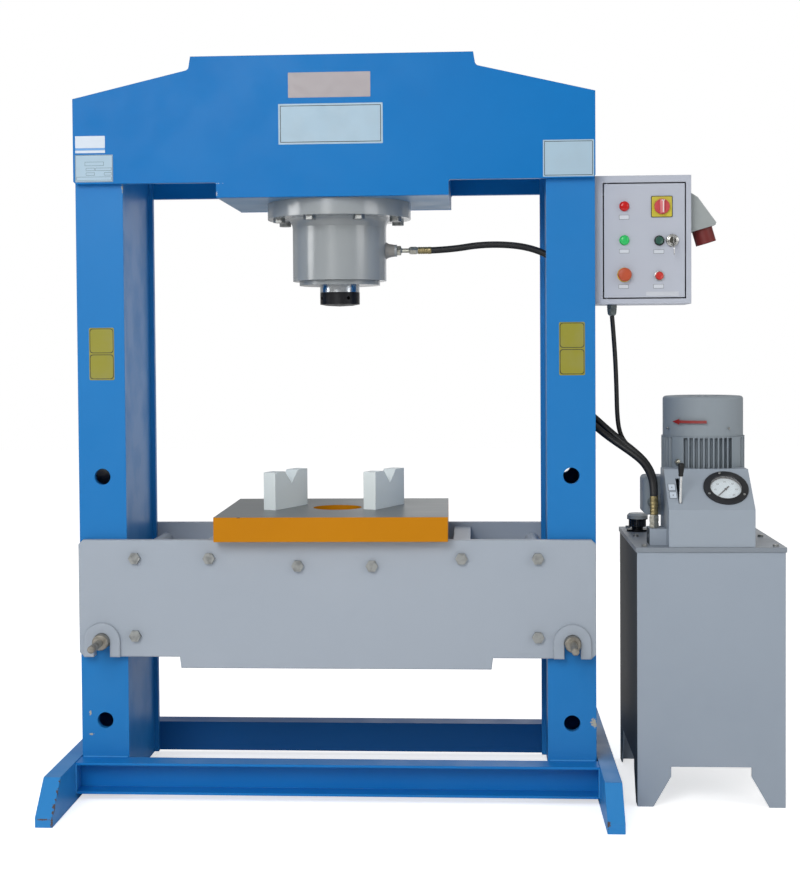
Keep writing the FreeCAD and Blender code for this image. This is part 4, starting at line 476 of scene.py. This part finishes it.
pale_film = film("PaleFilm", "A0BACB")
grey_film = film("GreyFilm", "A19A9D")
white_film = film("WhiteFilm", "CBD6E2")
sky_film = film("SkyFilm", "5C9BD8")
line_ink = film("LineInk", "232B30")
yellow_film = film("YellowFilm", "8E8A22")
black_ink = film("BlackInk", "23251C")
head_face, column_face = -232, -210
frame_plates = [
    bare_plate("UpperPlate", (-121, 110, 1980, 2050), head_face, grey_film),
    bare_plate("LargePlate", (-149, 144, 1850, 1963), head_face, pale_film, line_ink, 5, 2),
    bare_plate("RightPlate", (589, 730, 1750, 1852), head_face, pale_film, line_ink, 3.5, 1.7),
    bare_plate("LeftSticker", (-727, -642, 1848, 1882), head_face, white_film),
    bare_plate("LeftBand", (-727, -642, 1842, 1847.5), head_face, sky_film, corner=0.5),
    bare_plate("LeftStrip", (-727, -642, 1834, 1841.5), head_face, white_film, corner=0.5),
    bare_plate("LeftPlate", (-728, -620, 1752, 1829), head_face, pale_film, line_ink, 0.8, 1.0)]
for left, right, low, high in ((-700, -646, 1798, 1809), (-697, -672, 1784, 1792),
                               (-697, -672, 1771, 1779), (-670, -624, 1784, 1792),
                               (-645, -624, 1771, 1779), (-724, -624, 1757, 1767)):
    frame_plates.append(bare_plate("FormBox", (left, right, low, high), head_face - 0.8, line_ink,
                                   pale_film, inset=0.7, corner=0.4, lift=0.1))
twin_width, twin_height, panel_height = 72, 149, 70
twin_face = column_face - 0.4
for left, low in ((-700, 1192), (633, 1198)):
    right = left + twin_width
    frame_plates.append(slab("TwinGround", (left, twin_face, low),
                             (right, column_face, low + twin_height), 4, yellow_film, along=1))
    for step in (3, 77):
        span = (left + 2, right - 2, low + step, low + step + panel_height)
        frame_plates.append(bare_plate("TwinPanel", span, twin_face, black_ink, yellow_film,
                                       inset=1.8, corner=7, lift=0.15))
fit(join("FramePlates", *frame_plates), "frame", "tank_grey")

# ------------------------------------------------------------------ bed
# Two heavy plates bolted to spacers between them, painted grey, hung on two
# loose steel pins through the columns, with a ground and painted table on top.
bed_marks = [((461, -243, 734), 9, 0.5), ((270, -243, 733), 4, 0.6)]
# The light edge colour is a painted highlight on the plates' edges and round the pins' raised rims.
bed_grey = paint("BedGrey", "A3ACB7", "98A2AE", "AEB6C0", worn="D9DDE2", wear_and_highlight_strength=0.8,
                 marks=bed_marks, mark="6F757C", rounding=0.006)
give_finish(bed_grey, "bed_front_plate", "bed_rear_plate", "bed_spacers")


def bare_metal(name, colour, stain, roughness, scale=60, edge=0.0008, metallic=0.9):
    """Bare or plated metal with stains, uneven polish and a fine grain."""
    made = new_finish(name, colour, roughness, metallic)
    lay_over(made, patches(made, scale, 0.45, 0.72), colour=stain, strength=0.6)
    lay_over(made, patches(made, scale * 2.3, 0.4, 0.7), roughness=min(roughness + 0.2, 0.8))
    soften(made, edge, scale * 12, 0.04)
    return made


bolt_steel = bare_metal("BoltSteel", "A4A6A4", "5E6062", 0.3)
give_finish(bolt_steel, "bed_bolts", "lid_screws", "flange_bolts")
pin_steel = bare_metal("PinSteel", "A09C93", "5A534A", 0.4, scale=45, edge=0.0015)
give_finish(pin_steel, "left_pin", "right_pin")
table_marks = [((-265, -284, 806), 7, 0.35), ((127, -284, 806), 4, 0.5),
               ((234, -284, 806), 7, 0.35), ((240, -284, 741), 6, 0.3)]
table_top = 0.806
table_orange = paint("TableOrange", "C07C02", "B27000", "CC8608", marks=table_marks, shine=0.15)
table_height = axis_of(table_orange, object_place(table_orange), "Z")
table_rise = axis_of(table_orange, true_normal(table_orange), "Z")
ground_top = joined(table_orange, between(table_orange, table_rise, 0.9, 0.99),
                    between(table_orange, table_height, table_top - 0.0005, table_top + 0.0005))
lay_over(table_orange, ground_top, colour="8A8E8F", roughness=0.42, metallic=0.55)
scored = patches(table_orange, 90, 0.42, 0.66, detail=2, stretch=(0.06, 1, 1))
lay_over(table_orange, joined(table_orange, ground_top, scored), colour="74797B", roughness=0.3)
give_finish(table_orange, "table")
block_marks = [((-206, -92, 908), 7, 1.2), ((-218, -92, 903), 4, 1.0)]
block_paint = paint("BlockPaint", "E6EEEE", "D8E1E3", "ECF2F2", marks=block_marks, mark="7B8489")
give_finish(block_paint, "v_blocks")

# ------------------------------------------------------------------ cylinder
# A machined barrel with a bolted flange, filled and sprayed light grey; its ram
# is ground and chromed, and carries a blackened screwed-on cap.
cylinder_grey = paint("CylinderGrey", "969B9D", "8A9197", "A5AAAC", gloss=0.15, shine=0.7)
give_finish(cylinder_grey, "cylinder_barrel", "cylinder_gland")
ram_chrome = bare_metal("RamChrome", "C4C8CB", "A9B2BC", 0.12, scale=30, metallic=1.0)
give_finish(ram_chrome, "ram")
black_steel = bare_metal("BlackSteel", "1E1F22", "101113", 0.34, scale=50, metallic=0.6)
give_finish(black_steel, "ram_cap", "filler_neck")

# ------------------------------------------------------------------ hose ends
# Each hose ends in a crimped zinc-plated sleeve and a swivel nut on a hexagon
# adapter: two in the cylinder's bosses, two in the blocks on the tank lid.
def turned(name, profile, finish, place, sides=40, smooth=32):
    """A turned piece: radius and height of each step in millimetres, then set in its place."""
    deselect_all()
    radius, height = profile[0]
    bpy.ops.mesh.primitive_circle_add(vertices=sides, radius=radius / 1000, fill_type="NGON",
                                      location=(0, 0, height / 1000))
    made = keep_shape(name, finish)
    bpy.ops.object.mode_set(mode="EDIT")
    bpy.ops.mesh.select_all(action="SELECT")
    for wide, high in profile[1:]:
        bpy.ops.mesh.extrude_region_move(
            TRANSFORM_OT_translate={"value": (0, 0, (high - height) / 1000)})
        bpy.ops.transform.resize(value=(wide / radius, wide / radius, 1), center_override=(0, 0, 0))
        radius, height = wide, high
    bpy.ops.mesh.select_all(action="SELECT")
    bpy.ops.mesh.normals_make_consistent(inside=False)
    bpy.ops.object.mode_set(mode="OBJECT")
    bpy.ops.object.shade_smooth_by_angle(angle=math.radians(smooth))
    return keep_shape(name, finish, place)


def placed(x, y, z, axis="Z"):
    """Where a turned piece goes: it rises along Z, or lies along X, or faces the front."""
    turn = {"Z": Matrix.Identity(4), "X": Matrix.Rotation(math.radians(90), 4, "Y"),
            "FRONT": Matrix.Rotation(math.radians(90), 4, "X")}[axis]
    return Matrix.Translation(at(x, y, z)) @ turn


nut_steel = bare_metal("NutSteel", "BDBCB2", "7C7767", 0.28, scale=140)
sleeve_zinc = bare_metal("SleeveZinc", "A0926A", "6E6443", 0.36, scale=120)
hexagon_height, swivel_height, swivel_radius, grooves = 12, 25, 12.6, 4
hexagon = [(0.9, 0), (1, 1.2), (1, 10.8), (0.9, hexagon_height)]
swivel = [(0.92, 0), (0.92, 3), (1, 4), (1, 19), (0.92, 20.5), (0.84, swivel_height)]
hose_ends = []
for name, spot, axis, neck, sleeve, wide in (("Lower", (170, 0, 1565), "X", 25, 39, 15.5),
                                             ("Upper", (170, 0, 1965), "X", 25, 39, 15.5),
                                             ("Supply", (896, -195, 768), "Z", 0, 52, 12.8),
                                             ("Return", (902, -166, 768), "Z", 0, 52, 12.8)):
    foot = placed(*spot, axis)
    nut_foot = hexagon_height + neck
    hose_ends.append(turned(name + "Hexagon", [(r * wide, h) for r, h in hexagon], nut_steel, foot,
                            sides=6, smooth=20))
    if neck:
        hose_ends.append(turned(name + "Neck", [(9, 12), (6.5, 15), (6.5, 34), (9.5, 37)],
                                nut_steel, foot, sides=24))
    hose_ends.append(turned(name + "Swivel", [(r * swivel_radius, h + nut_foot) for r, h in swivel],
                            nut_steel, foot, sides=6, smooth=20))
    start = nut_foot + swivel_height
    rings = [(9.6, start), (10.6, start + 1)]
    for k in range(grooves):
        ring = start + 5 + k * (sleeve - 12) / grooves
        rings += [(10.6, ring), (10.0, ring + 0.8), (10.0, ring + 3), (10.6, ring + 3.8)]
    rings += [(10.6, start + sleeve - 2), (10.0, start + sleeve)]
    hose_ends.append(turned(name + "Sleeve", rings, sleeve_zinc, foot, sides=32, smooth=50))
fit(join("HoseEnds", *hose_ends), "frame", "zinc_steel", "hose_fittings")

# ------------------------------------------------------------------ cylinder flares
# The barrel's two welded hose bosses flare out of its wall, and its top meets
# the flange in a soft neck of filler, all sprayed grey.
boss_paint = paint("BossPaint", "8E8C88", "827F7A", "9A9894")
flares = [turned("Flare", [(27, -1.5), (23.5, 2.5), (20.5, 8), (19, 16), (16.5, 31), (15.5, 31.8)],
                 boss_paint, placed(138, 0, z, "X")) for z in (1565, 1965)]
flares.append(turned("Neck", [(138.2, 1632), (139.3, 1640), (142.4, 1647.5), (147.5, 1653),
                              (153.5, 1656.4), (160, 1658)], cylinder_grey, placed(0, 0, 0),
                     sides=96, smooth=50))
fit(join("CylinderFlares", *flares), "frame", "cylinder_grey")

# ------------------------------------------------------------------ welds
# Rippled weld beads, painted over, join the rails to the feet and close the
# columns' feet on the rails.
def bead(name, length, place):
    """A weld bead of many short ripples."""
    ripple = 4
    ripples = [(2.2, 0)]
    for k in range(int(length / ripple)):
        ripples += [(3.6, ripple * k + 1.6), (3.1, ripple * k + ripple)]
    return turned(name, ripples, foot_blue, place, sides=8, smooth=60)


beads = []
for side in (-1, 1):
    for depth in (-274, 274):
        beads.append(bead("RailBead", 86, placed(side * 737, depth, 22)))
    for depth in (-211, 211):
        beads.append(bead("ColumnBead", 128, placed(side * 666 - 64, depth, 111, "X")))
fit(join("WeldBeads", *beads), "frame", "blue_paint")

# ------------------------------------------------------------------ switch box
# A folded steel box with a flush door, powder-coated light grey and hung on the
# right column; small printed plates, left bare, sit under its controls.
box_grey = paint("BoxGrey", "B6BBC6", "ACB1BE", "BEC3CD", wear_and_highlight_strength=0.1)
give_finish(box_grey, "switchbox", "switchbox_door")
door_face = -173
plate_line = film("PlateLine", "60666E")
plate_white = film("PlateWhite", "CBD0D8")
door_plates = [bare_plate("DoorPlate", span, door_face, plate_line, plate_white, inset=0.9,
                          corner=0.8)
               for span in ((804, 832, 1634, 1647), (804, 832, 1539.5, 1551),
                            (802, 830, 1440, 1452), (900, 929, 1537.5, 1549),
                            (899, 928, 1440, 1452))]
door_plates.append(bare_plate("DoorStrip", (879, 970, 1419, 1431), door_face,
                              film("StripFilm", "C4C8D0"), corner=0.8))
fit(join("DoorPlates", *door_plates), "door", "box_grey")

# ------------------------------------------------------------------ door controls
# Standard 22 mm moulded devices: two lamps, a dark green start, a red stop, a
# large emergency head on a yellow ring, a turning isolator and a chromed lock.
# Black stems run through the door to the contact blocks behind it.
def plastic(name, colour, shade, gloss=0.3):
    """Moulded plastic with faint flow marks and handling sheen."""
    made = new_finish(name, colour, gloss)
    lay_over(made, patches(made, 55, 0.45, 0.75), colour=shade, strength=0.35)
    lay_over(made, patches(made, 90, 0.4, 0.7), roughness=gloss + 0.12)
    soften(made, 0.0006, 900, 0.02)
    return made


def on_door(x, z):
    """The place of a turned piece that stands out from the door."""
    return placed(x, door_face, z, "FRONT")


black_plastic = plastic("BlackPlastic", "141516", "1C1D1E", 0.38)
red_lens = plastic("RedLens", "C00C08", "A20604", 0.16)
green_lens = plastic("GreenLens", "2CBE62", "22AA55", 0.16)
stem_length = 38


def on_stem(name, profile, finish, place, sides=40, radius=9):
    """A control's head with the black moulded stem that goes through the door."""
    stem = [(radius - 0.6, -stem_length), (radius, 0.6 - stem_length), (radius, -0.8)]
    return join(name, turned(name, [(radius, -1)] + profile, finish, place, sides=sides),
                turned(name + "Stem", stem, black_plastic, place))


lamp_shape = [(9, 0), (14.2, 0.2), (14.2, 3.2), (13.7, 4.4), (13.0, 4.8), (12.8, 7.6),
              (11.2, 9.4), (8, 10.5), (3, 10.95)]
fit(join("SignalLamps", on_stem("RedLamp", lamp_shape, red_lens, on_door(818.5, 1671)),
         on_stem("GreenLamp", lamp_shape, green_lens, on_door(818.5, 1576))),
    "door", "lamp_lens", "signal_lamps")

start_place, stop_place = on_door(915.5, 1574), on_door(915.5, 1475)
emergency_place = on_door(818.5, 1479)
start_green = plastic("StartGreen", "1D4F42", "163F35", 0.34)
stop_red = plastic("StopRed", "C02A22", "A8221B")
button_shape = [(9, 1.5), (11.2, 1.7), (11.2, 9.8), (10.6, 11), (9.4, 11.4), (8.6, 11.0),
                (2, 10.8)]
fit(on_stem("StartButton", button_shape, start_green, start_place),
    "start_button", "green_plastic", "start_button")
fit(on_stem("StopButton", button_shape, stop_red, stop_place),
    "stop_button", "red_plastic", "stop_button")
emergency_red = plastic("EmergencyRed", "B44A26", "A23F20", 0.4)
fit(on_stem("EmergencyHead", [(9, 6.5), (15, 7.5), (18.4, 10), (19.2, 13.5), (18.9, 17),
                             (17.4, 19.6), (14, 21.2), (8, 21.8), (2, 22)],
           emergency_red, emergency_place, sides=56),
    "emergency_button", "red_plastic", "emergency_button")

collar_shape = [(14.0, 0), (14.2, 0.5), (14.2, 4.4), (13.4, 5.6), (12.2, 6), (11.5, 5.6), (11.5, 1)]
silver_collar = bare_metal("SilverCollar", "C8C8C4", "A5A5A0", 0.26, scale=90)
yellow_ring = plastic("YellowRing", "D9B21C", "C79F12")
sign_yellow = film("SignYellow", "C3B62A")
sign_edge = film("SignEdge", "33341C")
isolator_x, isolator_z = 923, 1669
collars = [
    turned("StartCollar", collar_shape, black_plastic, start_place),
    turned("StopCollar", collar_shape, silver_collar, stop_place),
    turned("EmergencyRing", [(20, 0), (20.3, 0.4), (20.3, 0.8), (19.8, 1.2), (12.4, 1.2), (12, 0.9),
                             (12, 0.3)], yellow_ring, emergency_place, sides=56),
    slab("IsolatorEdge", (isolator_x - 30, door_face - 2, isolator_z - 30),
         (isolator_x + 30, door_face, isolator_z + 30), 3.5, sign_edge, along=1),
    slab("IsolatorGround", (isolator_x - 28, door_face - 2.3, isolator_z - 28),
         (isolator_x + 28, door_face, isolator_z + 28), 2.5, sign_yellow, along=1)]
fit(join("ControlCollars", *collars), "door", "collar_plastic", "control_collars")

isolator_red = plastic("IsolatorRed", "C4474C", "B33A40")
handle_pink = plastic("HandlePink", "CE6F74", "C4595F")
pointer_white = plastic("PointerWhite", "EAE3E0", "DAD2CF")
knob_top = door_face - 19
handle = slab("IsolatorHandle", (isolator_x - 6.5, knob_top, isolator_z - 19),
              (isolator_x + 6.5, door_face - 8, isolator_z + 19), 1.6, handle_pink, steps=3)
pointer = slab("IsolatorPointer", (isolator_x + 0.8, knob_top - 0.4, isolator_z - 17),
               (isolator_x + 3.4, knob_top + 1, isolator_z + 18), 0.3, pointer_white)
pointer_top = slab("IsolatorPointerTop", (isolator_x - 2.6, knob_top - 0.4, isolator_z + 15.5),
                   (isolator_x + 6.0, knob_top + 1, isolator_z + 18), 0.3, pointer_white)
fit(join("IsolatorKnob", on_stem("IsolatorDisc", [(6, 2.6), (21.2, 2.8), (21.6, 4),
                                                 (21.2, 9.6), (19.8, 11), (4, 11.2)],
                                isolator_red, on_door(isolator_x, isolator_z), sides=56,
                                radius=6),
         handle, pointer, pointer_top), "isolator", "red_plastic", "isolator_knob")

lock_x, lock_z = 952, 1574
lock_place = on_door(lock_x, lock_z)
lock_chrome = bare_metal("LockChrome", "C9C9C6", "6A6A68", 0.14, scale=70, metallic=1.0)
lock_dark = bare_metal("LockDark", "55544F", "2E2D2B", 0.3, scale=80)
lock_shape = [(9, -stem_length), (9, 0), (17.6, 0.2), (18, 1), (18, 4.5), (16.8, 6.4), (14.2, 7.6),
              (12.9, 7.4), (12.4, 8.6), (11.8, 11.2), (10.4, 12), (9.4, 12), (9.1, 11)]
fit(join("KeyLock", turned("LockBody", lock_shape, lock_chrome, lock_place, sides=48),
         turned("LockBarrel", [(8.8, 10.6), (8.8, 11.4), (8.2, 11.8), (1, 11.8)], lock_dark,
                lock_place)), "door", "lock_chrome", "key_lock")
key_bow = slab("KeyBow", (lock_x - 1.2, -209, lock_z - 11), (lock_x + 1.2, -193, lock_z + 11),
               4, lock_chrome, along=0, steps=4)
key_blade = slab("KeyBlade", (lock_x - 1, -195, lock_z - 4), (lock_x + 1, -182, lock_z + 4),
                 0.6, lock_chrome)
key_ring = turned("KeyRing", [(6.6, 0), (7.6, 0.3), (8, 1), (7.6, 1.7), (6.6, 2), (6.2, 1.5)],
                  lock_dark, placed(lock_x - 1, -203, lock_z - 13, "X"), sides=28)
spare_key = slab("SpareKey", (lock_x + 0.6, -207, 1531), (lock_x + 2.4, -199, 1560), 0.7,
                 lock_chrome, steps=1)
fit(join("Key", key_bow, key_blade, spare_key, key_ring), "key", "lock_chrome", "key")
give_finish(black_plastic, "switch_gear")

# ------------------------------------------------------------------ supply inlet and glands
# A moulded wall housing slants down from the box's side and holds a red shrouded
# mains inlet; grey nylon glands grip the black cable.
inlet_grey = plastic("InletGrey", "999F9F", "8E9494", 0.5)
give_finish(inlet_grey, "inlet_housing")
socket_red = plastic("SocketRed", "6C1611", "5A100D", 0.45)
give_finish(socket_red, "inlet_socket")
gland_grey = plastic("GlandGrey", "6F7775", "5E6664", 0.4)
give_finish(gland_grey, "cable_glands")
gland_shape = [(13, 0), (14, 0.6), (14, 8.5), (13.2, 9.6), (13.4, 11), (13.8, 12)]
for k in range(4):
    gland_shape += [(13.8 - k * 0.3, 13.5 + 3 * k), (13.0 - k * 0.3, 14.2 + 3 * k),
                    (13.4 - k * 0.3, 15.6 + 3 * k)]
gland_shape += [(11.5, 27), (9.5, 29.5), (7.2, 30.8)]
box_gland = turned("BoxGland", gland_shape, gland_grey, placed(790, -100, 1397)
                   @ Matrix.Rotation(math.radians(180), 4, "X"), sides=36, smooth=40)
motor_gland = turned("MotorGland", gland_shape, gland_grey, placed(908, -60, 827, "FRONT"),
                     sides=36, smooth=40)
fit(join("CableGlands", box_gland, motor_gland), "frame", "collar_plastic", "cable_glands")

# ------------------------------------------------------------------ tank
# A welded sheet-steel oil tank on four cut-out legs, painted grey, with painted shade
# darkening its left side, and a thick lid held by socket screws.
tank_grey = paint("TankGrey", "9BA5B1", "909BA8", "A6AFBA", wear_and_highlight_strength=0.25, shine=0.12)
# Painted shade: faces that point left, here and on the port block, are darkened to a dark grey.
left_side_shade = between(tank_grey, axis_of(tank_grey, true_normal(tank_grey), "X"), -0.5, -0.9)
lay_over(tank_grey, left_side_shade, colour="1B252B", roughness=0.5, strength=0.95)
give_finish(tank_grey, "tank", "port_block")
lid_grey = paint("LidGrey", "858D96", "7B848E", "9097A0", wear_and_highlight_strength=0.5)
give_finish(lid_grey, "tank_lid")

# ------------------------------------------------------------------ console
# A folded sheet cover with a sloping panel for the gauge and the valve lever;
# two small bare plates stand beside the lever's slot.
console_grey = paint("ConsoleGrey", "9AA4AF", "909BA7", "A5AEB9", wear_and_highlight_strength=0.12)
give_finish(console_grey, "console_cover")
panel_slope = 41.496
gauge_place = (Matrix.Translation(at(1095, -206.33, 879.67))
               @ Matrix.Rotation(math.radians(panel_slope), 4, "X"))


def on_panel(name, span, colour, high=0.5):
    """A small plate on the sloping panel. Its span is left, right, low and high from the
    gauge's middle."""
    left, right, low, top = [edge / 1000 for edge in span]
    deselect_all()
    bpy.ops.mesh.primitive_cube_add(size=1, location=((left + right) / 2, (low + top) / 2, 0),
                                    scale=(right - left, top - low, 2 * high / 1000))
    made = keep_shape(name, colour)
    bpy.ops.object.mode_set(mode="EDIT")
    pick(made, "EDGE", lambda e: abs((e.verts[0].co - e.verts[1].co).normalized().z) > 0.9)
    bpy.ops.mesh.bevel(offset=0.001, segments=2, affect="EDGES")
    bpy.ops.object.mode_set(mode="OBJECT")
    return keep_shape(name, colour, gauge_place)


lever_plates = []
for left, low in ((-160, -9), (-159, -39)):
    lever_plates.append(on_panel("LeverPlate", (left, left + 21, low, low + 26), plate_line))
    lever_plates.append(on_panel("LeverPlateFace",
                                 (left + 1.4, left + 19.6, low + 1.6, low + 24.4),
                                 white_film, 0.7))
    lever_plates.append(on_panel("LeverPlateDot", (left + 9.2, left + 12, low + 11, low + 14.5),
                                 line_ink, 0.9))
fit(join("LeverPlates", *lever_plates), "frame", "console_grey")

# ------------------------------------------------------------------ pressure gauge
# A 100 mm gauge let into the panel: black flanged housing with three screws, a
# white printed dial with plain numbers, a black pointer and a flat glass.
housing_black = bare_metal("HousingBlack", "24262A", "15161A", 0.3, scale=50, metallic=0.2)
housing_shape = [(51, -40), (52, -38), (52, 0), (62.5, 0.2), (62.5, 3), (61.5, 5), (59, 6), (49, 6),
                 (47.5, 6.8), (44.5, 6.8), (43.4, 6), (43.2, -11.9)]
housing_parts = [turned("GaugeHousing", housing_shape, housing_black, gauge_place, sides=72)]
for x, y in ((-12, 53.6), (-49, -24.8), (47, -28.5)):
    screw_place = gauge_place @ Matrix.Translation((x / 1000, y / 1000, 0))
    housing_parts.append(turned("GaugeScrew", [(3.6, 5.5), (3.6, 7), (2.6, 8), (1.2, 8), (1, 7.2)],
                                bolt_steel, screw_place, sides=18))
fit(join("GaugeHousing", *housing_parts), "frame", "black_steel", "gauge_case")

dial_white = film("DialWhite", "DCE8EE", 0.5)
dial_ink = film("DialInk", "3A4046")
dial_level = -4.6
dial_parts = [turned("GaugeDial", [(42.6, -12), (42.6, dial_level - 0.6), (42.2, dial_level)],
                     dial_white, gauge_place, sides=72)]
tick_count, first_turn, tick_step, number_ring = 31, 225, 9, 0.0292
for k in range(tick_count):
    turn = math.radians(first_turn - tick_step * k)
    numbered = k % 5 == 0
    tick_middle, tick_size = ((0.0378, (0.0058, 0.0009, 0.0003)) if numbered
                              else (0.0386, (0.0034, 0.0005, 0.0003)))
    deselect_all()
    bpy.ops.mesh.primitive_cube_add(size=1, location=(tick_middle, 0, 0), scale=tick_size)
    dial_parts.append(keep_shape("DialTick", dial_ink, gauge_place
                                 @ Matrix.Translation((0, 0, dial_level / 1000))
                                 @ Matrix.Rotation(turn, 4, "Z")))
    if numbered:
        bpy.ops.object.text_add()
        label = bpy.context.object
        label.data.body = str(2 * k)
        label.data.size = 0.0074
        label.data.align_x = "CENTER"
        label.data.align_y = "CENTER"
        label.data.extrude = 0.00015
        bpy.ops.object.convert(target="MESH")
        dial_parts.append(keep_shape("DialNumber", dial_ink, gauge_place @ Matrix.Translation(
            (number_ring * math.cos(turn), number_ring * math.sin(turn), dial_level / 1000))))
fit(join("GaugeDial", *dial_parts), "frame", "dial_white", "gauge_dial")

pointer_black = plastic("PointerBlack", "1A1C1F", "222428", 0.4)
pointer_turn = gauge_place @ Matrix.Rotation(math.radians(228), 4, "Z")
deselect_all()
bpy.ops.mesh.primitive_cube_add(size=1, location=(0.007, 0, -0.0032), scale=(0.044, 0.0026, 0.0006))
pointer_arm = keep_shape("PointerArm", pointer_black)
bpy.ops.object.mode_set(mode="EDIT")
pick(pointer_arm, "FACE", lambda f: f.normal.x > 0.9)
bpy.ops.mesh.extrude_region_move(TRANSFORM_OT_translate={"value": (0.006, 0, 0)})
bpy.ops.transform.resize(value=(1, 0.15, 1))
pick(pointer_arm, "FACE", lambda f: f.normal.x < -0.9)
bpy.ops.transform.resize(value=(1, 1.7, 1))
bpy.ops.object.mode_set(mode="OBJECT")
pointer_arm = keep_shape("PointerArm", pointer_black, pointer_turn)
fit(join("GaugePointer", pointer_arm,
         turned("PointerHub", [(2.2, -10.6), (2.2, -3.8), (4, -3.6), (4, -2.2), (3, -1.4),
                               (1, -1.2)], pointer_black, gauge_place, sides=24)),
    "needle", "needle_black", "gauge_needle")
glass = new_finish("GaugeGlass", "FFFFFF", 0.04)
glass.node_tree.nodes["Principled BSDF"].inputs["Alpha"].default_value = 0.1
lay_over(glass, patches(glass, 25, 0.5, 0.8), roughness=0.12)
give_finish(glass, "gauge_glass")

# ------------------------------------------------------------------ valve lever
# A zinc-plated valve under the panel, and out of its slot a chromed rod with a
# tapered black grip screwed on.
zinc = bare_metal("ZincPlate", "A39C80", "776F52", 0.35)
give_finish(zinc, "lever_valve")
lever_chrome = bare_metal("LeverChrome", "E2E3E2", "C4C7C9", 0.2, scale=12, metallic=1.0)
give_finish(lever_chrome, "lever_rod")
lever_lean = 14.2
grip_place = (Matrix.Translation(at(964, -255.4, 919.6))
              @ Matrix.Rotation(math.radians(lever_lean), 4, "X"))
fit(turned("LeverGrip", [(6.2, -1), (6.8, 0.5), (6.8, 4), (6.2, 5), (6.6, 7), (8.0, 18), (8.6, 27),
                         (8.5, 31), (7.4, 34.2), (4.6, 36), (1, 36.4)],
           plastic("GripBlack", "070809", "0E0F10", 0.5), grip_place, sides=36),
    "lever", "black_plastic", "lever_knob")

# ------------------------------------------------------------------ motor
# A finned cast motor stands on the lid, with a pressed fan cover held by screws
# and a terminal box on its side. A red arrow on the cover shows the way it turns.
motor_grey = paint("MotorGrey", "89939B", "7D8891", "959EA5", gloss=0.45)
give_finish(motor_grey, "motor_frame", "terminal_box")
cover_grey = paint("CoverGrey", "8C959C", "838D95", "979FA5", gloss=0.5, wear_and_highlight_strength=0.15)
give_finish(cover_grey, "fan_cover")
shaft_steel = bare_metal("ShaftSteel", "9A9B9C", "77797B", 0.3, metallic=1.0)
give_finish(shaft_steel, "motor_shaft", "gear_pump")
give_finish(black_plastic, "motor_fan")
motor_x, motor_y, cover_radius = 1060, -10, 124.5
arrow_red = film("ArrowRed", "8C1714")
arrow_y, tip_x, strip_width, strips = -140, 963.4, 3.9, 24
deselect_all()
bpy.ops.mesh.primitive_cube_add(size=1, location=at(1016.5, arrow_y, 1061.5),
                                scale=(0.073, 0.004, 0.008))
arrow = keep_shape("TurnArrow", arrow_red)
bpy.ops.object.mode_set(mode="EDIT")
pick(arrow, "FACE", lambda f: f.normal.x < -0.9)
bpy.ops.mesh.extrude_region_move(TRANSFORM_OT_translate={"value": (-0.0002, 0, 0)})
bpy.ops.transform.resize(value=(1, 1, 2.1))
bpy.ops.mesh.extrude_region_move(TRANSFORM_OT_translate={"value": (-0.0164, 0, 0)})
bpy.ops.transform.resize(value=(1, 1, 0.05))
for k in range(1, strips):
    bpy.ops.mesh.select_all(action="SELECT")
    bpy.ops.mesh.bisect(plane_co=at(tip_x + strip_width * k, 0, 0), plane_no=(1, 0, 0))
bpy.ops.mesh.select_all(action="SELECT")
middle = at(motor_x, motor_y, 0)
bent = bmesh.from_edit_mesh(arrow.data)
for corner in bent.verts:
    reach = cover_radius / 1000 + (0.0004 if corner.co.y < at(0, arrow_y, 0).y else -0.002)
    across = corner.co.x - middle.x
    corner.co.y = middle.y - math.sqrt(reach ** 2 - across ** 2)
bmesh.update_edit_mesh(arrow.data)
bpy.ops.object.mode_set(mode="OBJECT")
fit(arrow, "frame", "motor_grey")


def on_motor(turn, height):
    """The place of a turned piece that stands out from the motor, at a turn and a height."""
    return (Matrix.Translation(at(motor_x, motor_y, height))
            @ Matrix.Rotation(math.radians(turn), 4, "Z")
            @ Matrix.Rotation(math.radians(90), 4, "Y"))


screw_shape = [(3.6, 122), (3.6, 125), (2.8, 126.2), (1.4, 126.2), (1.2, 125.2)]
cover_screws = [turned("CoverScrew", screw_shape, bolt_steel, on_motor(turn, 1042.5), sides=18)
                for turn in (-62, 28, 118, 208)]
fit(join("CoverScrews", *cover_screws), "frame", "bolt_steel")
earth_place = on_motor(225.4, 945)
fit(join("EarthStud", turned("EarthWasher", [(9.5, 114), (9.5, 120.4), (8.8, 121)], nut_steel,
                             earth_place, sides=28),
         turned("EarthNut", [(6.6, 120.5), (7.2, 121.4), (7.2, 125.6), (6.6, 126.4)], nut_steel,
                earth_place, sides=6, smooth=20),
         turned("EarthThread", [(3, 126), (3, 130.4), (2.4, 131)], nut_steel, earth_place,
                sides=16)), "frame", "bolt_steel")

# ------------------------------------------------------------------ filler
# A moulded breather cap with a grey crown and a black knurled rim screws onto
# the blackened neck.
cap_grey = plastic("CapGrey", "AEB2B2", "9DA2A3", 0.38)
rim_top = 0.7605
rim = between(cap_grey, axis_of(cap_grey, object_place(cap_grey), "Z"), rim_top, rim_top - 0.0005)
lay_over(cap_grey, rim, colour="1B1E26", roughness=0.25)
give_finish(cap_grey, "filler_cap")
